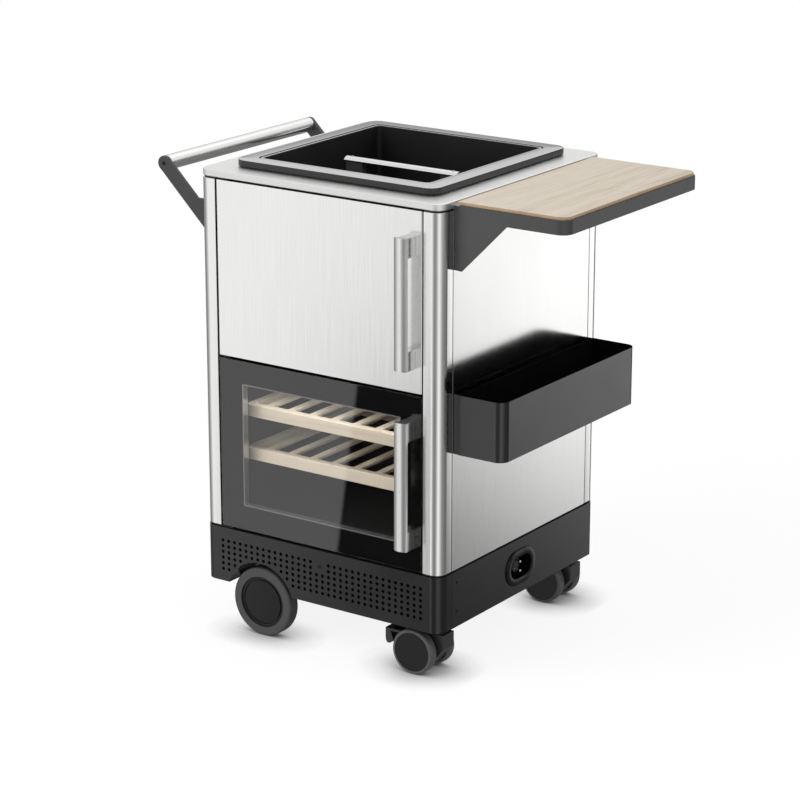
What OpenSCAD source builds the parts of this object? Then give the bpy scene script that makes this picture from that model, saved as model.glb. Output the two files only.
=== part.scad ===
// Outdoor bar cart: a steel cabinet on two fixed wheels and two swivel casters,
// with an ice tub in its worktop, a cupboard over a glass-fronted wine cooler,
// a hanging side shelf, a hanging basket and a push handle.
// Millimetres, Z up. The front faces -Y and the side shelf hangs on the +X side.
// The origin lies on the floor at the middle of the whole cart's outline.

/* [Cabinet] */
// Width of the cabinet across its corner posts
cab_w = 560; // [530:1:680]
// Depth of the cabinet over its corner posts
cab_d = 560; // [530:1:680]
// Height of the worktop surface above the floor
top_h = 928; // [890:1:1000]
// Thickness of the worktop edge
top_t = 13.5; // [10:0.5:20]
// Radius of the upright outer corners
corner_r = 22; // [14:1:30]
// Width of a corner post on each face
post_w = 39; // [34:1:46]
// Thickness of the outer sheet
sheet = 2; // [1.5:0.5:3]
// Open joint between a side panel and its posts
panel_gap = 1.8; // [1:0.1:3]
// Dark joint under the worktop
top_joint = 3.5; // [3:0.5:6]
// Dark joint between the plinth and the posts
foot_joint = 4; // [4:0.5:6]
// How far the dark joints lie behind the outer faces
joint_set = 2.5; // [2:0.5:6]

/* [Doors] */
// Gap between a door and the posts beside it
door_gap = 3; // [2.5:0.5:5]
// Height of the glass door
glass_door_h = 345; // [300:1:380]
// Gap between the two doors
door_split = 5; // [4:0.5:8]
// Gap between the glass door and the floor pan
door_sill = 4.5; // [4:0.5:8]
// Thickness of the upper door
door_t = 22; // [18:1:24]
// Thickness of the glass door over both panes
glass_door_t = 24; // [22:1:26]
// Thickness of the door skin
skin_t = 1.5; // [1:0.5:2.5]
// Radius of the upright front edges of the upper door
door_edge_r = 2.5; // [1:0.5:3]
// Thickness of the front pane
pane_t = 5; // [4:0.5:6]
// Thickness of the inner pane
inner_pane_t = 4; // [3:0.5:5]
// Width of the dark border round the window
window_rim = 53; // [45:1:65]
// Height of the border above and below the window
window_rim_z = 50; // [40:1:60]
// Distance of the hinge line from the door's left edge
hinge_in = 12; // [11:0.5:14]
// Distance of the hinge line behind the door's front face
hinge_deep = 8; // [7.5:0.1:8.2]
// Radius of the hinge pins
hinge_pin_r = 2.5; // [2:0.25:2.5]
// Length of a door handle
handle_l = 252; // [200:1:300]
// Width of a door handle
handle_w = 28; // [24:1:34]
// Distance of a handle's front from the door
handle_out = 34; // [30:1:55]
// Depth of the handle bar, front to back
handle_bar_t = 8.5; // [7:0.5:24]
// Height of each handle foot
handle_foot = 38; // [25:1:50]
// Gap between a handle and the door's right edge
handle_in = 13.5; // [3:0.5:20]

/* [Tub] */
// Distance of the tub's rim from the cabinet's sides
rim_in = 47; // [40:1:70]
// Depth of the tub below its rim
tub_depth = 140; // [110:1:160]
// Wall of the tub
tub_wall = 3; // [2:0.5:4]
// Width of the rim from the inner wall to its outer edge
rim_w = 40; // [30:1:44]
// Height of the rim over its seal
rim_h = 13; // [10:0.5:18]
// Width of the ledge inside the rim
ledge_w = 8; // [5:0.5:12]
// Depth of the ledge below the rim
ledge_h = 6; // [3:0.5:9]
// Outer corner radius of the rim
rim_r = 26; // [18:1:34]
// Inner corner radius of the tub
tub_r = 10; // [6:1:18]
// Thickness of the seal under the rim
seal_t = 2; // [1.5:0.5:3]

/* [Lift-out tray] */
// Length of the carrying grip
grip_l = 264; // [200:1:300]
// Width of the grip bar
grip_w = 22; // [18:1:30]
// Thickness of the grip bar at its crown
grip_t = 6; // [5:0.5:9]
// Depth of the grip's crown below the rim
grip_drop = 22; // [15:1:50]
// Width of a grip post
grip_post_w = 40; // [25:1:50]
// Thickness of a grip post
grip_post_t = 12; // [8:1:18]
// Height of the tray's upturned edge
tray_h = 14; // [10:1:25]

/* [Wine cooler] */
// Distance from a door edge to the opening behind it
liner_rim = 30; // [26:1:40]
// Depth of the cooled space
cooler_deep = 396; // [340:1:400]
// Height of a bottle shelf's front rail
shelf_rail_h = 25; // [18:1:32]
// Thickness of a bottle shelf's front rail
shelf_rail_t = 16; // [12:1:20]
// Width of a shelf slat
slat_w = 26; // [18:1:32]
// Thickness of a shelf slat
slat_t = 9; // [6:1:12]
// Distance between slats, centre to centre
slat_pitch = 52; // [46:1:60]
// Height of the upper bottle shelf above the cooler floor
upper_shelf_h = 221; // [200:1:235]
// Distance between the two bottle shelves
shelf_pitch = 88; // [70:1:100]

/* [Plinth] */
// Height of the plinth's lower edge above the floor
plinth_z = 97; // [95:1:105]
// Height of the plinth
plinth_h = 112.5; // [108:0.5:130]
// How far the plinth stands out past the posts
plinth_out = 1; // [0.5:0.5:2]
// Seam between the plinth's panels
seam = 0.8; // [0.5:0.1:1.5]
// Diameter of a vent hole
vent_d = 7; // [4:0.5:8]
// Distance between vent columns, nominal
vent_pitch_x = 14.4; // [12:0.1:18]
// Distance between vent rows
vent_pitch_z = 12; // [10:0.5:14]
// Number of vent rows
vent_rows = 6; // [3:1:6]
// Distance from the cabinet's side to the first vent column
vent_side = 43; // [36:1:60]
// Distance from the plinth's top to the first vent row
vent_top = 27; // [20:1:32]
// Least land between a vent hole and the wheel arch
vent_land = 2; // [2:0.5:6]
// Diameter of the release screw among the vents
lock_d = 8; // [6:0.5:10]

/* [Fixed wheels] */
// Radius of a fixed wheel
wheel_r = 70; // [60:1:74]
// Width of a fixed wheel
wheel_w = 28; // [22:1:32]
// Radius of the wheel's centre disc
disc_r = 52; // [40:1:56]
// Distance of the wheel axle from the cabinet's left side
wheel_in = 135; // [120:1:160]
// Gap between the tyre and the wheel arch
arch_gap = 12; // [8:1:16]
// Distance of the wheel's face behind the plinth's front
wheel_set = 4; // [2:1:10]
// Radius of the stub axle
axle_r = 6; // [5:0.5:8]

/* [Casters] */
// Radius of a caster wheel
caster_r = 45; // [38:1:46]
// Width of one caster wheel
caster_w = 21.5; // [16:0.5:24]
// Space between a caster's two wheels
caster_gap = 39; // [32:1:44]
// Distance of the wheel axle behind the swivel line
trail = 27; // [22:1:30]
// Distance of the swivel line from the cabinet's right side
swivel_in_x = 42; // [40:1:50]
// Distance of the swivel line from the cabinet's front or back
swivel_in_y = 48.5; // [46:0.5:55]
// Radius of a caster's axle
caster_axle_r = 4; // [3:0.5:5]
// Radius of a caster's swivel stem
stem_r = 6; // [5:0.5:8]
// Reach of the brake pedal past the wheels
pedal_out = 41; // [30:1:45]

/* [Side shelf] */
// Distance from the cabinet side to the shelf's outer edge
shelf_out = 240; // [180:1:300]
// Distance from the cabinet's front to the shelf's end
shelf_end = 40; // [40:1:60]
// Thickness of the wooden board
board_t = 6.5; // [5:0.5:12]
// Height of the frame round the board
skirt_h = 26.5; // [20:0.5:40]
// Height of the bracket at the cabinet
bracket_h = 122.5; // [110:0.5:160]
// Reach of the bracket along the shelf
bracket_l = 102; // [80:1:120]
// Radius of the shelf's outer corners
shelf_r = 22; // [12:1:30]
// Thickness of the folded sheet of the shelf and the basket
fold_t = 3; // [2:0.5:4]
// Distance between the side panel and what hangs on it
stand_off = 12; // [10:1:20]

/* [Basket] */
// Width of the basket, from its back to its front
basket_w = 100; // [80:1:140]
// Height of the basket
basket_h = 116; // [90:1:140]
// Height of the basket's underside above the floor
basket_z = 447; // [400:1:520]
// Radius of the basket's outer corners
basket_r = 20; // [12:1:28]

/* [Push handle] */
// Distance of the tube's centre line from the cabinet's side
push_out = 119.2; // [95:0.1:140]
// Depth of the tube's centre line below the worktop
push_drop = 13.7; // [10:0.1:30]
// Radius of the tube
push_r = 15; // [12:0.5:18]
// Wall of the tube
push_wall = 2; // [1.5:0.5:3]
// Angle of the arms below level
arm_deg = 44.3; // [40:0.1:48]
// Thickness of an arm
arm_t = 8; // [5:1:12]
// Depth of an arm's shoulder below the worktop
arm_shoulder = 72; // [60:1:80]

/* [Power inlet] */
// Width of the inlet's bezel
bezel_w = 104; // [90:1:110]
// Height of the inlet's bezel
bezel_h = 72; // [62:1:76]
// Thickness of the bezel
bezel_t = 3; // [2:0.5:5]
// Width of the recess
recess_w = 73; // [60:1:76]
// Height of the recess
recess_h = 43; // [38:1:48]
// Depth of the recess
recess_deep = 36; // [30:1:40]
// Height of the inlet's centre above the floor
inlet_z = 152; // [145:1:158]
// Distance between the two pins
pin_pitch = 19; // [14:0.5:22]
// Diameter of a pin
pin_d = 4.8; // [4:0.1:6]

/* [Hidden] */

// Overrun of every cut past the face it opens
over = 1;
// Radial clearance of a pin or a shaft in its bore
fit = 0.05;
// Clearance between pieces that lie close but don't touch
near_gap = 0.3;

// Colours
steel = [0.78, 0.79, 0.79];
coated = [0.13, 0.13, 0.14];
plastic = [0.08, 0.08, 0.09];
rubber = [0.33, 0.33, 0.33];
oak = [0.83, 0.74, 0.61];
beech = [0.86, 0.77, 0.65];
tinted = [0.1, 0.1, 0.11, 0.6];

// Places of the cabinet's faces
hw = cab_w / 2;
hd = cab_d / 2;
post_x = hw - post_w;
post_y = hd - post_w;
z_under = top_h - top_t;
z_body = z_under - top_joint;
plinth_top = plinth_z + plinth_h;
z_foot = plinth_top + foot_joint;
plinth_hw = hw + plinth_out;
plinth_hd = hd + plinth_out;

// Shift that brings the whole cart's outline over the origin
left_reach = hw + push_out + push_r;
right_reach = hw + shelf_out;
front_reach = hd + handle_out;
back_reach = hd + plinth_out;
cab_x = (left_reach - right_reach) / 2;
cab_y = (front_reach - back_reach) / 2;

// Floor pan and rails of the base frame
pan_t = 4.5;
pan_sink = 1.5;
pan_step = 2;
z_pan_mid = plinth_top - pan_sink;
z_pan_low = z_pan_mid - pan_t;
rail_w = 25;
rail_h = 25;
caster_lid = 121;
rail_y = hd - swivel_in_y + rail_w / 4;
rail_left = hw - 10 * sheet;
rail_right = hw - swivel_in_x;

// Doors and the faces behind them
door_hw = post_x - door_gap;
door_front = -hd;
door_zone = hd - glass_door_t - 3 * sheet;
glass_z0 = z_pan_mid + pan_step + door_sill;
glass_z1 = glass_z0 + glass_door_h;
upper_z0 = glass_z1 + door_split;
upper_z1 = z_body;
liner_gap = 10;
liner_y = -hd + glass_door_t + liner_gap;
flange_t = 3;
hinge_x = -door_hw + hinge_in;
hinge_y = -hd + hinge_deep;
hinge_plate_t = 2;
hinge_pin_l = 15;
gasket_in = 12;
gasket_w = 14;

// Cooler and cupboard
liner_hw = door_hw - liner_rim;
liner_play = 5;
liner_side = post_x - liner_play;
cooler_z0 = glass_z0 + liner_rim - sheet * 2;
cooler_z1 = glass_z1 - liner_rim + sheet * 2;
z_split = (glass_z1 + upper_z0) / 2;
cooler_wall = 25;
cooler_back = liner_y + cooler_deep;
z_tub_top = top_h + seal_t + rim_h;
z_tub_floor = z_tub_top - tub_depth;
z_tub_low = z_tub_floor - tub_wall;
cupboard_z0 = upper_z0 + liner_rim - sheet * 2;
cupboard_z1 = z_tub_low - tub_wall * 4;
cupboard_rear = 46;
cupboard_back = hd - cupboard_rear;
cupboard_wall = 9;

// Tub
rim_full = min(cab_w, cab_d) - 2 * rim_in;
tub_w = rim_full - 2 * rim_w;
tub_hole = tub_w + 4 * tub_wall;

// Wheels
wheel_x = -hw + wheel_in;
arch_r = wheel_r + arch_gap;
wheel_face = plinth_hd - wheel_set;
wheel_back = wheel_face - wheel_w;
house_room = 9;
house_back = wheel_back - house_room;
swivel_x = hw - swivel_in_x;
swivel_y = hd - swivel_in_y;

// Hanging hooks
hook_t = 4;
hook_strip = 6;
hook_h = 10;
hook_drop = 7;
hook_rise = 20;
hook_y = post_y - panel_gap - hook_t;
hang_x = hw + stand_off;
shelf_hooks = [top_h - board_t - bracket_h + 2 * hook_drop, top_h - board_t - 4.5 * hook_h];
basket_hooks = [basket_z + 2 * hook_drop, basket_z + basket_h - 4.5 * hook_h];

// Smoothness of round shapes
$fn = 64;

// Flat shapes
module rounded(w, d, r) {
    square([w - 2 * r, d], center = true);
    square([w, d - 2 * r], center = true);
    for (sx = [-1, 1], sy = [-1, 1])
        translate([sx * (w / 2 - r), sy * (d / 2 - r)]) circle(r);
}

module ring(w, d, r, t) {
    difference() {
        rounded(w, d, r);
        rounded(w - 2 * t, d - 2 * t, r - t);
    }
}

module stadium(w, h) {
    square([w - h, h], center = true);
    for (sx = [-1, 1])
        translate([sx * (w - h) / 2, 0]) circle(h / 2);
}

module span(x0, x1, y0, y1) {
    translate([x0, y0]) square([x1 - x0, y1 - y0]);
}

// Solids between two planes
module along_z(z0, z1) translate([0, 0, z0]) linear_extrude(z1 - z0) children();
module along_y(y0, y1) translate([0, y1, 0]) rotate([90, 0, 0]) linear_extrude(y1 - y0) children();
module along_x(x0, x1) translate([x0, 0, 0]) rotate([90, 0, 90]) linear_extrude(x1 - x0) children();
module block(x0, x1, y0, y1, z0, z1) translate([x0, y0, z0]) cube([x1 - x0, y1 - y0, z1 - z0]);
module rod_z(r, x, y, z0, z1) translate([x, y, z0]) cylinder(r = r, h = z1 - z0);
module rod_y(r, x, z, y0, y1) translate([x, y0, z]) rotate([-90, 0, 0]) cylinder(r = r, h = y1 - y0);
module rod_x(r, y, z, x0, x1) translate([x0, y, z]) rotate([0, 90, 0]) cylinder(r = r, h = x1 - x0);

// Places
module in_cart() translate([cab_x, cab_y, 0]) children();
module side_x(s) {
    if (s < 0) mirror([1, 0, 0]) children();
    else children();
}
module side_y(s) {
    if (s < 0) mirror([0, 1, 0]) children();
    else children();
}

// Base frame: a floor pan on four uprights over a ring of rails
module base_frame() color(coated) in_cart() {
    edge_w = 2 * (plinth_hw - sheet);
    edge_d = 2 * (plinth_hd - sheet);
    joint_w = cab_w - 2 * joint_set;
    joint_d = cab_d - 2 * joint_set;
    along_z(z_pan_low, z_pan_mid) rounded(edge_w, edge_d, corner_r - sheet + plinth_out);
    along_z(z_pan_mid, z_pan_mid + pan_step) rounded(joint_w, joint_d, corner_r - joint_set);
    along_z(z_pan_mid + pan_step, z_foot) difference() {
        rounded(joint_w, joint_d, corner_r - joint_set);
        span(-post_x, post_x, -hd, -door_zone);
    }
    z_rail = caster_lid + rail_h;
    for (sy = [-1, 1]) side_y(sy) {
        block(-rail_left, rail_right, rail_y - rail_w, rail_y, caster_lid, z_rail);
        for (x = [-rail_left, rail_right - rail_w])
            block(x, x + rail_w, rail_y - rail_w, rail_y, caster_lid, z_pan_low + pan_t / 2);
    }
    for (x = [-rail_left, rail_right - rail_w])
        block(x, x + rail_w, -rail_y, rail_y, caster_lid, z_rail);
}

// Caster plates: a bolted plate with the swivel stem of each caster
plate_w = 60;
plate_t = 4;
race_r = 25;
race_t = 1.5;
stem_end = 80;
hood_top = caster_lid - plate_t - race_t - near_gap;
module caster_plates() color(steel) in_cart() for (sy = [-1, 1]) side_y(sy) {
    along_z(caster_lid - plate_t, caster_lid)
        translate([swivel_x, swivel_y]) rounded(plate_w, plate_w, plate_t);
    rod_z(race_r, swivel_x, swivel_y, caster_lid - plate_t - race_t, caster_lid - plate_t / 2);
    rod_z(stem_r, swivel_x, swivel_y, stem_end, caster_lid - plate_t / 2);
}

// Stub axles of the fixed wheels, each on a bracket plate
bracket_w = 50;
bracket_t = 4;
bracket_up = 68;
boss_r = 12;
module wheel_axles() color(steel) in_cart() for (sy = [-1, 1]) side_y(sy) {
    along_y(house_back + bracket_t / 2, house_back + bracket_t * 3 / 2) translate([wheel_x, wheel_r]) {
        circle(bracket_w / 2);
        span(-bracket_w / 2, bracket_w / 2, 0, bracket_up);
    }
    rod_y(axle_r, wheel_x, wheel_r, house_back + bracket_t, wheel_face - wheel_w / 3);
}

// Wheel housings: an arched sheet with a flat back behind each plinth arch
module arch_part(r) intersection() {
    translate([wheel_x, wheel_r]) circle(r);
    span(-hw, hw, plinth_z, plinth_top);
}

module wheel_housings() color(coated) in_cart() for (sy = [-1, 1]) side_y(sy) {
    along_y(house_back - sheet / 2, plinth_hd - sheet) difference() {
        arch_part(arch_r + sheet);
        translate([wheel_x, wheel_r]) circle(arch_r);
    }
    along_y(house_back - sheet / 2, house_back + sheet) arch_part(arch_r + sheet);
}

// Plinth panels, cut from one ring of folded sheet
module plinth_ring() ring(2 * plinth_hw, 2 * plinth_hd, corner_r + plinth_out, sheet);
seam_y = post_y;
vent_cols = round((cab_w - 2 * vent_side) / vent_pitch_x);
vent_step = (cab_w - 2 * vent_side) / vent_cols;
lock_z = plinth_top - vent_top - vent_pitch_z / 2;
lock_land = 7.5;

function vent_open(x, z) =
    norm([x - wheel_x, z - wheel_r]) > arch_r + vent_land + vent_d / 2
    && norm([x, z - lock_z]) > lock_d / 2 + lock_land + vent_d / 2;

module vents() for (i = [0 : vent_cols], j = [0 : vent_rows - 1]) {
    x = -hw + vent_side + i * vent_step;
    z = plinth_top - vent_top - j * vent_pitch_z;
    if (vent_open(x, z)) rod_y(vent_d / 2, x, z, -plinth_hd - over, -plinth_hd + sheet + over);
}

module plinth_front() color(coated) in_cart() difference() {
    along_z(plinth_z, plinth_top) intersection() {
        plinth_ring();
        span(-plinth_hw, plinth_hw, -plinth_hd, -seam_y);
    }
    rod_y(arch_r, wheel_x, wheel_r, -plinth_hd - over, -plinth_hd + sheet + over);
    vents();
    rod_y(lock_d / 2, 0, lock_z, -plinth_hd - over, -plinth_hd + sheet + over);
}

// The side panels wrap the rear corners, and the back panel lies flat between them
module plinth_back() color(coated) in_cart() difference() {
    along_z(plinth_z, plinth_top) span(-post_x, post_x, plinth_hd - sheet, plinth_hd);
    rod_y(arch_r, wheel_x, wheel_r, plinth_hd - sheet - over, plinth_hd + over);
}

module plinth_side() along_z(plinth_z, plinth_top) intersection() {
    plinth_ring();
    union() {
        span(post_x, plinth_hw, -seam_y + seam, 0);
        span(post_x + seam, plinth_hw, -over, plinth_hd);
    }
}

module seam_screw_holes(r) for (z = seam_screw_z)
    rod_x(r, -seam_screw_y, z, plinth_hw - sheet - over, plinth_hw + over);

seam_screw_r = 2;
seam_screw_in = 19;
seam_screw_up = 31;
seam_screw_down = 23;
seam_screw_y = post_y - seam_screw_in;
seam_screw_z = [plinth_z + seam_screw_up, plinth_top - seam_screw_down];
recess_gap = 0.5;

module plinth_left() color(coated) in_cart() mirror([1, 0, 0]) difference() {
    plinth_side();
    seam_screw_holes(seam_screw_r);
}

module plinth_right() color(coated) in_cart() difference() {
    plinth_side();
    seam_screw_holes(seam_screw_r);
    along_x(plinth_hw - sheet - over, plinth_hw + over) translate([0, inlet_z])
        stadium(recess_w + 2 * bezel_t + 2 * recess_gap, recess_h + 2 * bezel_t + 2 * recess_gap);
}

// Screws: four at the plinth's seams, the release screw and one at each end of the push tube
screw_play = 0.1;
head_over = 1.2;
head_t = 0.8;
push_screw_r = 3;
module screw(r, l) {
    cylinder(r = r - screw_play, h = l);
    translate([0, 0, l]) cylinder(r = r + head_over, h = head_t);
}

module screws() color(steel) in_cart() {
    for (sx = [-1, 1]) side_x(sx) for (z = seam_screw_z)
        translate([plinth_hw - 3 * sheet, -seam_screw_y, z]) rotate([0, 90, 0]) screw(seam_screw_r, 3 * sheet);
    translate([0, -plinth_hd + 3 * sheet, lock_z]) rotate([90, 0, 0]) screw(lock_d / 2, 3 * sheet);
    for (sy = [-1, 1]) side_y(sy)
        translate([head_x, arm_y - arm_t, head_z]) rotate([-90, 0, 0]) screw(push_screw_r, arm_t);
}

// Corner posts: closed tubes with one large outer radius
module corner_post(sx, sy) color(steel) in_cart() side_x(sx) side_y(sy)
    along_z(z_foot, z_body) difference() {
        intersection() {
            rounded(cab_w, cab_d, corner_r);
            span(post_x, hw, post_y, hd);
        }
        intersection() {
            rounded(cab_w - 2 * sheet, cab_d - 2 * sheet, corner_r - sheet);
            span(post_x + sheet, hw, post_y + sheet, hd);
        }
    }

// Outer panels
panel_y = post_y - panel_gap;
panel_x = post_x - panel_gap;
module side_panel() block(hw - sheet, hw, -panel_y, panel_y, z_foot, z_body);

module side_panel_left() color(steel) in_cart() mirror([1, 0, 0]) side_panel();

module side_panel_right() color(steel) in_cart() difference() {
    side_panel();
    for (sy = [-1, 1], z = concat(shelf_hooks, basket_hooks)) side_y(sy)
        block(hw - sheet - over, hw + over,
            hook_y - hook_t / 2 - 2 * near_gap, hook_y + hook_t / 2 + 2 * near_gap, z, z + hook_rise);
}

module back_panel() color(steel) in_cart() block(-panel_x, panel_x, hd - sheet, hd, z_foot, z_body);

// Top frame: the dark ring that carries the worktop
module top_frame() color(coated) in_cart() along_z(z_body, z_under) difference() {
    rounded(cab_w - 2 * joint_set, cab_d - 2 * joint_set, corner_r - joint_set);
    rounded(tub_hole, tub_hole, tub_r + 2 * tub_wall);
    span(-post_x, post_x, -hd, -door_zone);
}

module worktop() color(steel) in_cart() along_z(z_under, top_h) difference() {
    rounded(cab_w, cab_d, corner_r);
    rounded(tub_hole, tub_hole, tub_r + 2 * tub_wall);
}

// Tub with its broad rim and the ledge inside it
module tub() color(plastic) in_cart() {
    rim_z = top_h + seal_t;
    along_z(rim_z, z_tub_top - ledge_h) difference() {
        rounded(rim_full, rim_full, rim_r);
        rounded(tub_w, tub_w, tub_r);
    }
    along_z(z_tub_top - ledge_h, z_tub_top) difference() {
        rounded(rim_full, rim_full, rim_r);
        rounded(tub_w + 2 * ledge_w, tub_w + 2 * ledge_w, tub_r + ledge_w / 2);
    }
    along_z(z_tub_floor, rim_z + tub_wall) ring(tub_w + 2 * tub_wall, tub_w + 2 * tub_wall, tub_r + tub_wall, tub_wall);
    along_z(z_tub_low, z_tub_floor) rounded(tub_w + 2 * tub_wall, tub_w + 2 * tub_wall, tub_r + tub_wall);
}

seal_set = 5;
module tub_seal() color(plastic) in_cart() along_z(top_h, top_h + seal_t) difference() {
    rounded(rim_full - 2 * seal_set, rim_full - 2 * seal_set, rim_r - seal_set);
    rounded(tub_hole, tub_hole, tub_r + 2 * tub_wall);
}

// Lift-out ice tray: a drained floor, its upturned edge and two grip posts
tray_gap = 4;
tray_w = tub_w - 2 * tray_gap;
tray_t = 3;
tray_foot = 2;
tray_z = z_tub_floor + tray_foot;
drain_d = 8;
drain_step = 36;
drain_count = 4;
grip_z = z_tub_top - grip_drop - grip_t;
module ice_tray() color(plastic) in_cart() {
    difference() {
        along_z(tray_z, tray_z + tray_t) rounded(tray_w, tray_w, tub_r);
        for (i = [-drain_count : drain_count], j = [-drain_count : drain_count])
            if (abs(j) > 0) rod_z(drain_d / 2, i * drain_step, j * drain_step, tray_z - over, tray_z + tray_t + over);
    }
    for (sx = [-1, 1], sy = [-1, 1])
        rod_z(drain_d, sx * (tray_w / 2 - drain_step / 2), sy * (tray_w / 2 - drain_step / 2), tray_z - tray_foot, tray_z);
}

module tray_edge() color(plastic) in_cart()
    along_z(tray_z + tray_t, tray_z + tray_h) ring(tray_w, tray_w, tub_r, tray_t);

grip_post_in = 1;
module grip_posts() color(plastic) in_cart() for (sx = [-1, 1]) side_x(sx)
    block(grip_l / 2 - grip_post_in - grip_post_w, grip_l / 2 - grip_post_in,
        -grip_post_t / 2, grip_post_t / 2, tray_z + tray_t, grip_z);

// Grip bar: flat below and crowned above
crown_r = (pow(grip_w / 2, 2) + pow(grip_t, 2)) / (2 * grip_t);
module grip_bar() color(steel) in_cart() along_x(-grip_l / 2, grip_l / 2) intersection() {
    translate([0, grip_z + grip_t - crown_r]) circle(crown_r, $fn = 160);
    span(-grip_w, grip_w, grip_z, grip_z + grip_t);
}

// Liners: an insulated box behind a front flange
module liner_front(z0, z1, o0, o1) along_y(liner_y, liner_y + flange_t) difference() {
    span(-post_x, post_x, z0, z1);
    span(-liner_hw, liner_hw, o0, o1);
}

module cupboard_liner() color([0.8, 0.8, 0.8]) in_cart() {
    liner_front(z_split, z_body, cupboard_z0, cupboard_z1);
    difference() {
        block(-liner_side, liner_side, liner_y + flange_t, cupboard_back,
            z_split, cupboard_z1 + cupboard_wall);
        block(-liner_hw, liner_hw, liner_y, cupboard_back - cupboard_wall, cupboard_z0, cupboard_z1);
    }
}

rib_w = 10;
rib_h = 7;
shelf_play = 3;
upper_shelf_z = cooler_z0 + upper_shelf_h;
lower_shelf_z = upper_shelf_z - shelf_pitch;
module cooler_liner() color([0.16, 0.16, 0.17]) in_cart() {
    liner_front(z_foot, z_split, cooler_z0, cooler_z1);
    difference() {
        block(-liner_side, liner_side, liner_y + flange_t, cooler_back + cooler_wall, z_foot, z_split);
        block(-liner_hw, liner_hw, liner_y, cooler_back, cooler_z0, cooler_z1);
    }
    for (sx = [-1, 1], z = [upper_shelf_z, lower_shelf_z]) side_x(sx)
        block(liner_hw - rib_w, liner_hw, liner_y + 2 * rib_w, cooler_back - rib_w,
            z - shelf_rail_h - rib_h, z - shelf_rail_h);
}

// Wooden bottle shelf: front and back rails, side bars and slats
module wine_shelf(z) color(beech) in_cart() {
    w = liner_hw - shelf_play;
    y0 = liner_y + flange_t;
    y1 = cooler_back - 2 * rib_w;
    n = floor((w - slat_w / 2) / slat_pitch);
    for (y = [y0, y1 - shelf_rail_t])
        block(-w, w, y, y + shelf_rail_t, z - shelf_rail_h, z);
    for (i = [-n : n])
        block(i * slat_pitch - slat_w / 2, i * slat_pitch + slat_w / 2,
            y0 + shelf_rail_t, y1 - shelf_rail_t, z - slat_t, z);
    for (sx = [-1, 1]) side_x(sx)
        block(w - shelf_rail_t, w, y0 + shelf_rail_t, y1 - shelf_rail_t, z - shelf_rail_h, z);
}

// Recessed power inlet with its bezel, barrel and two pins
barrel_r = 14;
barrel_l = 26;
module inlet_housing() color(plastic) in_cart() translate([0, 0, inlet_z]) {
    x_in = plinth_hw - recess_deep;
    along_x(plinth_hw, plinth_hw + bezel_t) difference() {
        stadium(bezel_w, bezel_h);
        stadium(recess_w, recess_h);
    }
    along_x(x_in, plinth_hw) difference() {
        stadium(recess_w + 2 * bezel_t, recess_h + 2 * bezel_t);
        stadium(recess_w, recess_h);
    }
    along_x(x_in - bezel_t, x_in) stadium(recess_w + 2 * bezel_t, recess_h + 2 * bezel_t);
    rod_x(barrel_r, 0, 0, x_in, x_in + barrel_l);
}

module inlet_pins() color(steel) in_cart() for (s = [-1, 1])
    rod_x(pin_d / 2, 0, inlet_z + s * pin_pitch / 2, plinth_hw - recess_deep + barrel_l, plinth_hw + bezel_t / 2);

// Hinge plates with the pins that both doors turn on
module hinge_plate(z) block(-post_x, hinge_x + hinge_in, -hd + joint_set, hinge_y + hinge_in, z, z + hinge_plate_t);

module hinge_plates() color(steel) in_cart() {
    hinge_plate(z_under - hinge_plate_t);
    rod_z(hinge_pin_r, hinge_x, hinge_y, upper_z1 - hinge_pin_l, z_under - hinge_plate_t / 2);
    hinge_plate(z_split - hinge_plate_t / 2);
    rod_z(hinge_pin_r, hinge_x, hinge_y, glass_z1 - hinge_pin_l, upper_z0 + hinge_pin_l);
    hinge_plate(z_pan_mid + pan_step);
    rod_z(hinge_pin_r, hinge_x, hinge_y, z_pan_mid + pan_step, glass_z0 + hinge_pin_l);
}

// Bores of one door's two hinge pins
module hinge_bores(z0, z1, play) {
    deep = hinge_pin_l + over;
    rod_z(hinge_pin_r + play, hinge_x, hinge_y, z0 - over, z0 + deep);
    rod_z(hinge_pin_r + play, hinge_x, hinge_y, z1 - deep, z1 + over);
}

// Upper door: a steel tray over a filled core
module door_outline(set, y1) {
    r = door_edge_r - set * 0.9;
    span(-door_hw + set, door_hw - set, -hd + set + r, y1);
    span(-door_hw + set + r, door_hw - set - r, -hd + set, y1);
    for (sx = [-1, 1]) translate([sx * (door_hw - set - r), -hd + set + r]) circle(r);
}

module upper_door_skin() color(steel) in_cart() difference() {
    along_z(upper_z0, upper_z1) door_outline(0, -hd + door_t);
    along_z(upper_z0 + skin_t, upper_z1 - skin_t) door_outline(skin_t, -hd + door_t + over);
    hinge_bores(upper_z0, upper_z1, 10 * fit);
}

module upper_door_core() color([0.8, 0.8, 0.8]) in_cart() difference() {
    along_z(upper_z0 + skin_t, upper_z1 - skin_t) door_outline(skin_t, -hd + door_t);
    hinge_bores(upper_z0, upper_z1, fit);
}

module gasket(z0, z1, y0) along_y(y0, liner_y - near_gap) difference() {
    span(-door_hw + gasket_in, door_hw - gasket_in, z0 + gasket_in, z1 - gasket_in);
    span(-door_hw + gasket_in + gasket_w, door_hw - gasket_in - gasket_w,
        z0 + gasket_in + gasket_w, z1 - gasket_in - gasket_w);
}

module upper_door_gasket() color(plastic) in_cart() gasket(upper_z0, upper_z1, -hd + door_t);

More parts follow.
